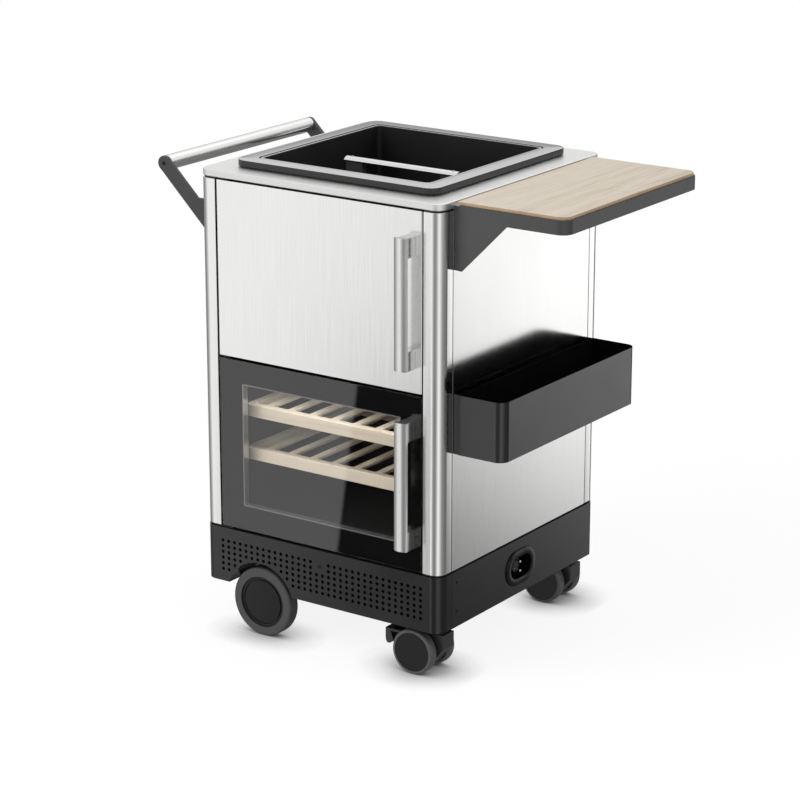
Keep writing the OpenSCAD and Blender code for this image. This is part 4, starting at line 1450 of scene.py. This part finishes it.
@dataclass
class GlassDoor(Assembly):
    """The cooler's door: two panes with a frame and a glazing bar between them."""

    front_edge: float = 0.9 * MM
    inner_edge: float = 0.4 * MM
    frame_edge: float = 0.5 * MM
    seal_edge: float = 2.5 * MM
    bar_wall: float = 2 * MM
    bond: float = 0.2 * MM
    body: ClassVar[str] = Body.GLASS_DOOR.value

    def build(self) -> None:
        """Builds the panes, each a bond's width off the frame, and what lies between them."""
        box = Box.of("glass_pane")
        pane = Workpiece.block("pane_front", Box(box.low, box.high + FRONT * self.bond))
        pane.soften(self.front_edge).dress(GLASS).hang(self.body, "glass_pane")
        box = Box.of("glass_inner_pane")
        inner = Workpiece.block("pane_inner", Box(box.low - FRONT * self.bond, box.high))
        inner.soften(self.inner_edge, 1).dress(INNER_GLASS).hang(self.body, "glass_inner_pane")
        soft_copy("glass_door_frame", self.body, FRAME_BLACK, self.frame_edge, 1)
        box = Box.of("glass_spacer")
        bar = Workpiece.block("glazing_bar", box).tunnel(box.centre, self.bar_wall)
        bar.dress(SPACER).hang(self.body, "glass_spacer")
        soft_copy("glass_door_gasket", self.body, SEAL, self.seal_edge, 3)
        Handle("handle_lower", "lower_handle", self.body).build()


@dataclass
class Cooler(Assembly):
    """The cooler's liner, its strip light and its two wooden bottle shelves."""

    rail: float = 16 * MM
    slat_width: float = 17 * MM
    slat_thick: float = 6 * MM
    slat_pitch: float = 52 * MM
    edge: float = 1.6 * MM
    light_power: float = 0.30
    light_lean: float = 24.0
    light_share: float = 0.9
    light_width: float = 30 * MM
    light_ahead: float = 12 * MM
    light_above: float = 60 * MM

    def build(self) -> None:
        """Dresses the liners and builds the shelves."""
        dress_nodes(DARK_LINER, "cooler_liner")
        dress_nodes(LINER, "cupboard_liner")
        for end in ("upper", "lower"):
            self.shelf(end, Box.of("wine_shelf_" + end))
        self.light(Box.of("cooler_liner"), Box.of("wine_shelf_upper"))

    def light(self, liner: Box, shelf: Box) -> None:
        """Hangs the strip light under the liner's roof, in front of the shelves.

        Args:
            liner: The liner's box.
            shelf: The upper shelf's box.
        """
        data = bpy.data.lights.new("cooler_light", "AREA")
        data.shape = "RECTANGLE"
        data.size, data.size_y = shelf.size.x * self.light_share, self.light_width
        data.energy = self.light_power
        obj = bpy.data.objects.new("cooler_light", data)
        obj.location = (liner.centre.x, shelf.low.y - self.light_ahead,
                        shelf.high.z + self.light_above)
        obj.rotation_euler = (math.radians(self.light_lean), 0.0, 0.0)
        obj.visible_glossy = obj.visible_camera = False
        bpy.context.scene.collection.objects.link(obj)

    def shelf(self, end: str, box: Box) -> None:
        """Builds one shelf: rails front and back, side bars and slats.

        Args:
            end: "upper" or "lower".
            box: The shelf's box.
        """
        def soft_block(tag: str, x: Span, y: Span, z: Span) -> Workpiece:
            """Returns a block of the shelf with rounded edges."""
            return Workpiece.block(f"shelf_{end}_{tag}", Box.span(x, y, z)).soften(self.edge, 3)

        low, high, middle = box.low, box.high, box.centre.x
        front = soft_block("rails", (low.x, high.x), (low.y, low.y + self.rail),
                           (low.z, high.z))
        back = front.copy(f"shelf_{end}_back", -FRONT * (box.size.y - self.rail))
        front.join(back).dress(BEECH_RAIL).hang(self.body)
        deep = (low.y + self.rail, high.y - self.rail)
        side = soft_block("slats", (low.x, low.x + self.rail), deep, (low.z, high.z))
        others = [side.copy(f"shelf_{end}_side", RIGHT * (box.size.x - self.rail))]
        slat = soft_block("slat", (middle - self.slat_width / 2, middle + self.slat_width / 2),
                          deep, (high.z - self.slat_thick, high.z))
        count = int((box.size.x / 2 - self.rail - self.slat_width) / self.slat_pitch)
        for step in range(-count, count + 1):
            if step:
                others.append(slat.copy(f"shelf_{end}_slat_{step + count}",
                                        RIGHT * step * self.slat_pitch))
        side.join(slat, *others).dress(BEECH_SLAT).hang(self.body, "wine_shelf_" + end)


@dataclass
class Plinth(Assembly):
    """The folded plinth with its vents, wheel arches and screws."""

    edge: float = 0.6 * MM
    seam_screw_radius: float = 2.9 * MM
    seam_screw_low: float = 31 * MM
    seam_screw_high: float = 23 * MM
    seam_screw_in: float = 18.2 * MM
    release_radius: float = 4.6 * MM
    release_drop: float = 33 * MM
    tube_screw_radius: float = 4.0 * MM
    head: float = 0.8 * MM
    sunk: float = 0.4 * MM
    shade_sheet_gap: float = 2.3 * MM
    shade_sheet_thick: float = 1.2 * MM
    filter_side: float = 24 * MM
    shade_sheet_edge: float = 3 * MM
    arch_gap: float = 13 * MM

    def build(self) -> None:
        """Builds the panels and the screws in their seams."""
        for side in ("front", "back", "left", "right"):
            soft_copy("plinth_" + side, self.body, COAT, self.edge)
        self.filter_sheet()
        dress_nodes(COAT, "wheel_housings")
        dress_nodes(STEEL_FIXINGS, "caster_plates", "wheel_axles")
        self.screws()

    def filter_sheet(self) -> None:
        """Fits a black sheet of painted shade behind the vents, cut out round the wheel arch."""
        front, wheel = Box.of("plinth_front"), Box.of("front_wheel_tyre")
        y = front.low.y + self.shade_sheet_gap
        sheet = Workpiece.block("filter_sheet", Box.span(
            (front.low.x + self.filter_side, front.high.x - self.filter_side),
            (y, y + self.shade_sheet_thick),
            (front.low.z + self.shade_sheet_edge, front.high.z - self.shade_sheet_edge)))
        hub = Vector((wheel.centre.x, y, wheel.centre.z))
        radius = wheel.size.z / 2 + self.arch_gap
        step = FRONT * radius
        sheet.carve(Workpiece.rod("arch_cut", hub + step, hub - step, radius, segments=96))
        sheet.dress(VENT_SHADE).hang(self.body)

    def screw(self, name: str, face: Place, way: Vector, radius: float) -> None:
        """Seats one black screw in a face.

        Args:
            name: The screw's name.
            face: Where its axis meets the face.
            way: The way that the face looks.
            radius: The head's radius.
        """
        SocketScrew(name, Vector(face) - way * self.sunk, way, radius, self.head + self.sunk,
                    self.body, WHEEL_FACE, Slot.COAT).build()

    def screws(self) -> None:
        """Seats the seam screws, the release screw and the screws of the push tube."""
        plinth = Box.of("plinth_left", "plinth_right", "plinth_front")
        side = Box.of("plinth_right")
        seam_y = side.low.y + self.seam_screw_in
        for tag, x, way in (("left", plinth.low.x, -RIGHT), ("right", plinth.high.x, RIGHT)):
            for row, z in (("low", side.low.z + self.seam_screw_low),
                           ("high", side.high.z - self.seam_screw_high)):
                self.screw(f"seam_screw_{tag}_{row}", (x, seam_y, z), way, self.seam_screw_radius)
        release = (Box.of("worktop").centre.x, plinth.low.y, side.high.z - self.release_drop)
        self.screw("release_screw", release, FRONT, self.release_radius)
        tube = Box.of("push_tube").centre
        arms = Box.of("push_arm_front", "push_arm_rear")
        for tag, way in (("front", FRONT), ("rear", -FRONT)):
            self.screw(f"tube_screw_{tag}", (tube.x, arms.side(way).y, tube.z), way,
                       self.tube_screw_radius)
        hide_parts("screws")


@dataclass
class PushHandle(Assembly):
    """Two plate arms and the brushed tube between them."""

    arm_edge: float = 1.2 * MM
    tube_wall: float = 1.2 * MM
    end_depth: float = 0.8 * MM
    tube_edge: float = 0.4 * MM

    def build(self) -> None:
        """Builds the arms and the tube."""
        for node in ("push_arm_front", "push_arm_rear"):
            soft_copy(node, self.body, ARM_COAT, self.arm_edge, 3)
        box = Box.of("push_tube")
        tube = Workpiece.rod("push_bar", box.side(FRONT), box.side(-FRONT), box.size.z / 2,
                             segments=96)
        for way in (FRONT, -FRONT):
            tube.pick_facing(way).inset(self.tube_wall, way * -self.end_depth)
        tube.soften(self.tube_edge, 2, 50.0).dress(STEEL_ACROSS).hang(self.body, "push_tube")


@dataclass
class PowerInlet(Assembly):
    """The recessed inlet: a glossy bezel, a barrel and two pins."""

    bezel: float = 3 * MM
    wall: float = 3 * MM
    bezel_width: float = 104 * MM
    bezel_height: float = 72 * MM
    recess_width: float = 73 * MM
    recess_height: float = 43 * MM
    nose_low: float = 1.6 * MM
    nose_mid: float = 0.5 * MM
    nose_reach: float = 1.8 * MM
    mouth_reach: float = 2.0 * MM
    corner: float = 1 * MM
    round_slack: float = 0.02 * MM
    barrel_radius: float = 14 * MM
    barrel_length: float = 26 * MM
    barrel_wall: float = 1.5 * MM
    barrel_moat: float = 2.0 * MM
    moat_depth: float = 0.8 * MM
    barrel_edge: float = 0.5 * MM
    pin_radius: float = 2.4 * MM
    pin_tip: float = 1.4 * MM
    from_loft: ClassVar[Matrix] = Matrix(((0, 0, 1, 0), (1, 0, 0, 0), (0, 1, 0, 0), (0, 0, 0, 1)))

    def build(self) -> None:
        """Builds the housing, its barrel and the pins."""
        box = Box.of("inlet_housing")
        place = Matrix.Translation(box.side(RIGHT) - RIGHT * self.bezel) @ self.from_loft
        stations = self.stations(box.size.x - self.bezel)
        housing = Workpiece.loft("inlet_shell", stations, place, segments=16)
        back = box.side(-RIGHT) + RIGHT * (self.wall - EPS)
        barrel = Workpiece.rod("inlet_barrel", back, back + RIGHT * self.barrel_length,
                               self.barrel_radius)
        barrel.pick_facing(RIGHT).inset(self.barrel_wall, RIGHT * -self.moat_depth)
        barrel.inset(self.barrel_moat, RIGHT * self.moat_depth).soften(self.barrel_edge)
        housing.join(barrel).dress(BLACK_GLOSS).hang(self.body, "inlet_housing")
        self.pins(Box.of("inlet_pins"))

    def stations(self, depth: float) -> list[Station]:
        """Lists the loft's stations up the outside, over the bezel and down the recess.

        Args:
            depth: How far the housing reaches in behind the bezel.

        Returns:
            The stations.
        """
        def oblong(width: float, height: float) -> Ring:
            """Returns a ring with round ends."""
            return Ring(width, height, height / 2 - self.round_slack)

        wall = 2 * self.wall
        outer = oblong(self.recess_width + wall, self.recess_height + wall)
        bezel = oblong(self.bezel_width, self.bezel_height)
        recess = oblong(self.recess_width, self.recess_height)
        top = self.bezel
        return [
            outer.at(-depth),
            outer.at(0.0),
            bezel.at(0.0),
            bezel.at(top - self.nose_low),
            bezel.at(top - self.nose_mid, -self.nose_mid),
            bezel.at(top, -self.nose_reach),
            recess.at(top, self.mouth_reach),
            recess.at(top - self.nose_mid, self.nose_mid),
            recess.at(top - self.nose_reach),
            recess.at(-depth + self.wall + self.corner),
            recess.at(-depth + self.wall, -self.corner),
        ]

    def pins(self, box: Box) -> None:
        """Builds the two pins with round tips.

        Args:
            box: The box of both pins.
        """
        made = []
        for z in (box.low.z + self.pin_radius, box.high.z - self.pin_radius):
            start = Vector((box.low.x, box.centre.y, z))
            pin = Workpiece.rod("inlet_pin", start, start + RIGHT * box.size.x,
                                self.pin_radius, segments=32)
            pin.pick(Pick.EDGES, lambda place, _: place.x > box.high.x - EPS)
            made.append(pin.bevel(self.pin_tip, 4))
        pins = made[0].join(made[1]).rename("inlet_pins_round")
        pins.dress(STEEL_PINS).hang(self.body, "inlet_pins")


@dataclass
class SideShelf(Assembly):
    """The hanging shelf: a folded frame under an oak board."""

    fold: float = 1.0 * MM
    board_radius: float = 19 * MM
    board_edge: float = 0.8 * MM
    body: ClassVar[str] = Body.SHELF.value

    def build(self) -> None:
        """Builds the frame and the board with its edge band."""
        # The shelf frame's lighter coat is painted light.
        soft_copy("shelf_frame", self.body, LIT_SHELF_COAT, self.fold)
        box = Box.of("shelf_board")
        board = Workpiece.plate("board", box, self.board_radius,
                                lambda place, _: place.x > box.centre.x, segments=16)
        board.soften(self.board_edge, 3, 50.0).dress(OAK)
        board.dress_faces(OAK_EDGE, lambda _, normal: abs(normal.z) < 0.5)
        board.hang(self.body, "shelf_board")


@dataclass
class Basket(Assembly):
    """The hanging basket of folded sheet."""

    fold: float = 0.8 * MM
    body: ClassVar[str] = Body.BASKET.value

    def build(self) -> None:
        """Builds the basket with its hooks."""
        brim = Box.of("basket").high.z - self.fold
        pan = Workpiece.copy_of("basket").soften(self.fold).dress(BASKET_COAT)
        # The brim's upward faces are painted shade: a dark, dull copy of the basket's coat.
        pan.dress_faces(SHADED_BRIM_COAT, lambda place, normal: place.z > brim and normal.z > 0.3)
        pan.hang(self.body, "basket")


@dataclass
class FixedWheel(Assembly):
    """A fixed wheel: a grey tyre on a black domed disc."""

    end: str
    outward: Vector
    shoulder: float = 5 * MM
    bead: float = 0.6 * MM
    edge_slack: float = 0.5 * MM
    disc_radius: float = 52 * MM
    disc_fit: float = 0.1 * MM
    disc_set: float = 2 * MM
    dome_set: float = 2.2 * MM
    border: float = 6 * MM
    border_rise: float = 0.5 * MM
    groove: float = 2 * MM
    groove_wall: float = 0.3 * MM
    domes: Stops = ((9 * MM, 0.6 * MM), (11 * MM, 0.5 * MM), (12 * MM, 0.25 * MM))
    disc_edge: float = 0.5 * MM
    boss_radius: float = 12 * MM
    boss_back: float = 10.5 * MM
    boss_front: float = 3 * MM
    boss_edge: float = 0.8 * MM

    def build(self) -> None:
        """Builds the tyre and the disc on the wheel's own body."""
        box = Box.of(f"{self.end}_wheel_tyre")
        self.tyre(box)
        self.disc(box)

    def tyre(self, box: Box) -> None:
        """Builds the tyre as a ring with round shoulders.

        Args:
            box: The tyre's box.
        """
        radius = box.size.z / 2
        tyre = Workpiece.rod(f"{self.end}_tyre", box.side(-self.outward), box.side(self.outward),
                             radius, segments=128)
        tyre.tunnel(box.centre, radius - self.disc_radius)
        tyre.pick(Pick.EDGES, lambda place, _: abs((place - box.centre).xz.length - radius)
                  < self.edge_slack and abs(abs(place.y - box.centre.y) - box.size.y / 2) < EPS)
        tyre.bevel(self.shoulder, 6).soften(self.bead, 2, 50.0)
        tyre.dress(TYRE).hang(f"{self.end}_wheel", f"{self.end}_wheel_tyre")

    def disc(self, tyre: Box) -> None:
        """Builds the disc with a groove near its edge and a shallow dome.

        Args:
            tyre: The tyre's box.
        """
        out = self.outward
        node = f"{self.end}_wheel_disc"
        hub = tyre.side(-out)
        face = Vector((hub.x, Box.of(node).side(out).y, hub.z)) - out * self.dome_set
        disc = Workpiece.rod(f"{self.end}_disc", hub + out * self.disc_set, face,
                             self.disc_radius - self.disc_fit, segments=128)
        disc.pick_facing(out).inset(self.border, out * self.border_rise)
        disc.inset(self.groove_wall, out * -self.groove)
        disc.inset(self.groove, out * (self.groove + self.groove_wall))
        for width, rise in self.domes:
            disc.inset(width, rise=rise)
        boss = Workpiece.rod(f"{self.end}_boss", hub - out * self.boss_back,
                             hub + out * self.boss_front, self.boss_radius, segments=48)
        disc.soften(self.disc_edge, 2, 40.0).join(boss.soften(self.boss_edge))
        disc.dress(WHEEL_FACE).hang(f"{self.end}_wheel", node)


@dataclass
class Caster(Assembly):
    """A twin-wheel caster with its hood and, on the front one, its brake pedal."""

    end: str
    braked: bool
    hood_edge: float = 1.2 * MM
    pedal_edge: float = 1.0 * MM
    tread_shoulder: float = 4 * MM
    rim: float = 2.2 * MM
    rim_edge: float = 0.35 * MM
    recess: float = 1.0 * MM
    face_margin: float = 0.2 * MM

    def build(self) -> None:
        """Builds the hood, the wheels and the pedal."""
        soft_copy(f"{self.end}_caster_hood", f"{self.end}_caster", BLACK, self.hood_edge, 3)
        dress_nodes(STEEL_FIXINGS, f"{self.end}_caster_axle")
        for side in ("outer", "inner"):
            self.wheel(f"{self.end}_caster_wheel_{side}", f"{self.end}_caster_{side}")
        if self.braked:
            soft_copy("front_brake_pedal", "front_brake", BLACK, self.pedal_edge, 3)

    def wheel(self, node: str, body: str) -> None:
        """Builds one wheel: a grey tread round a black recessed face.

        Args:
            node: The CAD node that it stands for.
            body: The body that it rides on.
        """
        box = Box.of(node)
        outside = box.centre.y < Box.of(f"{self.end}_caster_hood").centre.y
        outward = FRONT if outside else -FRONT
        radius = box.size.z / 2
        face_y = box.side(outward).y
        face_radius = radius - self.tread_shoulder - self.rim + self.face_margin
        wheel = Workpiece.rod(node + "_turned", box.side(-outward), box.side(outward), radius,
                              segments=96)
        wheel.pick(Pick.EDGES, lambda place, _:
                   abs(abs(place.y - box.centre.y) - box.size.y / 2) < EPS)
        wheel.bevel(self.tread_shoulder, 5)
        wheel.pick_facing(outward).inset(self.rim, outward * -self.recess)
        wheel.soften(self.rim_edge, 2, 40.0).dress(TREAD)
        wheel.dress_faces(WHEEL_FACE, lambda place, _: (place.y - face_y) * outward.y > 0
                          or (place - box.centre).xz.length < face_radius)
        wheel.hang(body, node)


@dataclass(frozen=True)
class LightCards:
    """The bright and dark cards that polished surfaces reflect, by their direction.

    A direction has a turn, from the front towards the right, and a rise above level. Each
    table of stops runs from one angle to another with the brightness at each, and each edge
    of a card is a pair of angles.
    """

    front: Stops = (
        (-180, 0.17), (-160, 0.20), (-125, 0.25), (-99, 0.22), (-87, 0.26), (-76, 0.34),
        (-66, 0.46), (-55, 0.66), (-46, 0.88), (-40, 0.97), (-28, 1.0), (-16, 0.62), (-5, 0.28),
        (8, 0.19), (20, 0.26), (30, 0.50), (42, 0.88), (52, 0.95), (62, 0.70), (74, 0.40),
        (86, 0.25), (100, 0.20), (122, 0.15), (141, 0.13), (156, 0.17), (180, 0.17))
    back: Stops = ((-40, 0.15), (-5, 0.18), (2, 0.42), (11.4, 0.42), (11.6, 0.80), (20, 0.92),
                   (35, 1.0), (50, 1.8))
    high: Stops = ((-180, 0.8), (-120, 0.9), (-60, 0.95), (60, 0.9), (105, 0.9), (130, 0.5),
                   (180, 0.8))
    front_gain: float = 1.12
    gap_slope: float = 0.142
    gap_turn: float = -33.42
    gap_start: Span = (-0.05, 0.05)
    gap_end: Span = (-33.4, -32.6)
    gap_depth: Span = (0.97, 0.26)
    gap_rise: Span = (-16.55, -16.40)
    side_per_rise: float = 0.21
    side_per_turn: float = 0.13
    side_base: float = -14.57
    side_range: Span = (0.16, 1.45)
    side_edges: tuple[Span, Span] = ((142.5, 145.0), (154.0, 160.0))
    tilt_slope: float = 0.07
    tilt_turn: float = 145.0
    tilt_edges: tuple[Span, Span] = ((-150.0, -149.0), (-130.0, -129.0))
    back_right: Span = (134.0, 139.0)
    back_left: Span = (-135.0, -125.0)
    horizon: Span = (-12.0, -6.0)

    def profile(self, graph: Graph, angle: Socket, stops: Stops) -> Socket:
        """Reads a table of stops.

        Args:
            graph: The world's tree.
            angle: Where to read.
            stops: Pairs of an angle and its brightness, in rising order.

        Returns:
            The brightness.
        """
        start, end = stops[0][0], stops[-1][0]
        shades = [((where - start) / (end - start), grey(value)) for where, value in stops]
        colour = graph.ramp(graph.remap(angle, 0.0, 1.0, start, end), shades)
        return graph.node("RGBToBW", Color=colour).outputs[0]

    def low_part(self, graph: Graph, turn: Socket, rise: Socket) -> Socket:
        """Returns the brightness below the horizon.

        Args:
            graph: The world's tree.
            turn: The direction's turn.
            rise: The direction's rise.

        Returns:
            The front cards with a slanted dark gap, and the side card.
        """
        cards = graph.times(self.profile(graph, turn, self.front), self.front_gain)
        edge = graph.plus(graph.times(rise, self.gap_slope), self.gap_turn)
        after = graph.remap(graph.math("SUBTRACT", turn, edge), 0.0, 1.0, *self.gap_start)
        before = graph.remap(turn, 1.0, 0.0, *self.gap_end)
        depth = graph.remap(rise, *self.gap_depth, *self.gap_rise)
        gap = graph.times(graph.times(after, before), depth)
        cards = graph.times(cards, graph.math("SUBTRACT", 1.0, gap))
        slope = graph.plus(graph.times(rise, self.side_per_rise),
                           graph.times(turn, self.side_per_turn))
        darkest, brightest = self.side_range
        side = graph.math("MAXIMUM", graph.plus(slope, self.side_base), darkest)
        side = graph.math("MINIMUM", side, brightest)
        return graph.blend(cards, side, graph.window(turn, *self.side_edges))

    def high_part(self, graph: Graph, turn: Socket, rise: Socket) -> Socket:
        """Returns the brightness above the horizon.

        Args:
            graph: The world's tree.
            turn: The direction's turn.
            rise: The direction's rise.

        Returns:
            The cards overhead, with the back wall's where the direction looks back.
        """
        lean = graph.times(graph.plus(turn, self.tilt_turn), self.tilt_slope)
        tilt = graph.blend(rise, graph.plus(rise, lean), graph.window(turn, *self.tilt_edges))
        behind = graph.plus(graph.remap(turn, 0.0, 1.0, *self.back_right),
                            graph.remap(turn, 1.0, 0.0, *self.back_left))
        return graph.blend(self.profile(graph, turn, self.high),
                           self.profile(graph, tilt, self.back), behind)

    def brightness(self, graph: Graph, turn: Socket, rise: Socket) -> Socket:
        """Returns the brightness in every direction."""
        return graph.blend(self.low_part(graph, turn, rise), self.high_part(graph, turn, rise),
                           graph.remap(rise, 0.0, 1.0, *self.horizon))


@dataclass(frozen=True)
class Lamp:
    """A soft square lamp that looks at the cart."""

    name: str
    place: Place
    size: float
    power: float
    aim: Place = (0.0, 0.0, 0.5)

    def hang(self) -> None:
        """Hangs the lamp."""
        data = bpy.data.lights.new(self.name, "AREA")
        data.energy = self.power
        data.size = self.size
        obj = bpy.data.objects.new(self.name, data)
        obj.location = self.place
        way = Vector(self.aim) - Vector(self.place)
        obj.rotation_euler = way.to_track_quat("-Z", "Y").to_euler()
        obj.visible_glossy = False
        bpy.context.scene.collection.objects.link(obj)


@dataclass
class Studio:
    """The camera, the pale floor, the soft light and what polished surfaces reflect."""

    eye: Place = (2.9423, -4.2869, 2.0443)
    azimuth: float = 34.891
    elevation: float = 16.984
    lens: float = 124.33
    sensor: float = 36.0
    view_reach: float = 200.0
    floor_half: float = 40.0
    floor_tone: float = 0.80
    floor_seen_tone: float = 0.13
    floor_glow: float = 0.88
    floor_fade: Span = (0.7, 2.5)
    # Reach and strength of the painted contact shadow in the floor's glow.
    painted_shadow_reach: float = 0.08
    painted_shadow_power: float = 1.6
    world_light: float = 0.66
    cards: LightCards = LightCards()
    lamps: tuple[Lamp, ...] = (Lamp("key", (-2.2, -3.6, 3.9), 2.6, 150.0),
                               Lamp("fill", (4.0, 1.0, 2.6), 2.2, 40.0))

    def build(self) -> None:
        """Sets up the whole studio."""
        self.camera()
        self.floor()
        self.world()
        for lamp in self.lamps:
            lamp.hang()
        bpy.context.scene.view_settings.view_transform = "Standard"

    def camera(self) -> None:
        """Stands the camera where the photograph was taken from."""
        data = bpy.data.cameras.new("camera")
        data.lens = self.lens
        data.sensor_width = self.sensor
        data.clip_end = self.view_reach
        obj = bpy.data.objects.new("camera", data)
        obj.location = self.eye
        obj.rotation_euler = (math.radians(90 - self.elevation), 0.0, math.radians(self.azimuth))
        bpy.context.scene.collection.objects.link(obj)
        bpy.context.scene.camera = obj

    def floor(self) -> None:
        """Lays the floor: white to the camera with a painted contact shadow over the cart's faint
        real shadow, clear to reflections.
        """
        clear_selection()
        bpy.ops.mesh.primitive_plane_add(size=2 * self.floor_half, location=(0, 0, 0))
        sheet = bpy.context.active_object
        sheet.name = "studio_floor"
        graph = Graph(bpy.data.materials.new("studio floor"))
        reach = graph.node("VectorMath", Vector=graph.place((1.0, 1.0, 1.0)))
        reach.operation = "LENGTH"
        far = graph.remap(reach.outputs["Value"], 0.0, 1.0, *self.floor_fade)
        path = graph.node("LightPath")
        seen = path.outputs["Is Camera Ray"]
        paint = graph.node("MixRGB", Fac=seen, Color1=(*grey(self.floor_tone), 1.0),
                           Color2=(*grey(self.floor_seen_tone), 1.0))
        # Painted shadow: the camera's glow fades where ambient occlusion finds the cart close by.
        painted_shadow_ao = graph.node("AmbientOcclusion", Distance=self.painted_shadow_reach).outputs["AO"]
        painted_shadow_ao = graph.math("POWER", painted_shadow_ao, self.painted_shadow_power)
        glow = graph.times(graph.times(seen, painted_shadow_ao), self.floor_glow)
        near = graph.node("AddShader")
        graph.feed(near.inputs[0], graph.node("BsdfDiffuse", Color=paint.outputs[0]).outputs[0])
        graph.feed(near.inputs[1], graph.node("Emission", Color=WHITE, Strength=glow).outputs[0])
        white = graph.node("Emission", Color=WHITE, Strength=1.0)
        shown = graph.mix(graph.times(far, seen), near, white)
        clear = graph.node("BsdfTransparent")
        sheet.data.materials.append(graph.end(graph.mix(path.outputs["Is Glossy Ray"],
                                                        shown, clear)))

    def world(self) -> None:
        """Paints the room: white to the camera, grey to matt surfaces, cards to polished ones."""
        world = bpy.data.worlds.new("studio")
        bpy.context.scene.world = world
        graph = Graph(world, "OutputWorld")
        world.cycles.sampling_method = "NONE"
        way = graph.node("SeparateXYZ", Vector=graph.node("TexCoord").outputs["Generated"])
        turn = graph.math("ARCTAN2", way.outputs["X"], graph.times(way.outputs["Y"], -1.0))
        turn = graph.math("DIVIDE", turn, math.radians(1.0))
        rise = graph.math("DIVIDE", graph.math("ARCSINE", way.outputs["Z"]), math.radians(1.0))
        path = graph.node("LightPath")
        plain, shiny, white = (
            graph.node("Background", Color=WHITE, Strength=strength)
            for strength in (self.world_light, self.cards.brightness(graph, turn, rise), 1.0))
        seen = graph.math("MAXIMUM", path.outputs["Is Camera Ray"],
                          path.outputs["Is Transmission Ray"])
        met = graph.mix(path.outputs["Is Glossy Ray"], plain, shiny)
        graph.end(graph.mix(seen, met, white))


def main() -> None:
    """Builds the cart piece by piece, then the studio."""
    logging.basicConfig(level=logging.INFO, format="%(name)s: %(message)s")
    clear_selection()
    assemblies = (CabinetShell(), Tub(), LiftOutTray(), UpperDoor(), GlassDoor(), Cooler(),
                  Plinth(), PushHandle(), PowerInlet(), SideShelf(), Basket(),
                  FixedWheel("front", FRONT), FixedWheel("rear", -FRONT),
                  Caster("front", True), Caster("rear", False))
    for assembly in assemblies:
        LOG.info("building %s", type(assembly).__name__)
        assembly.build()
    Studio().build()
    LOG.info("size written")


if __name__ == "__main__":
    main()
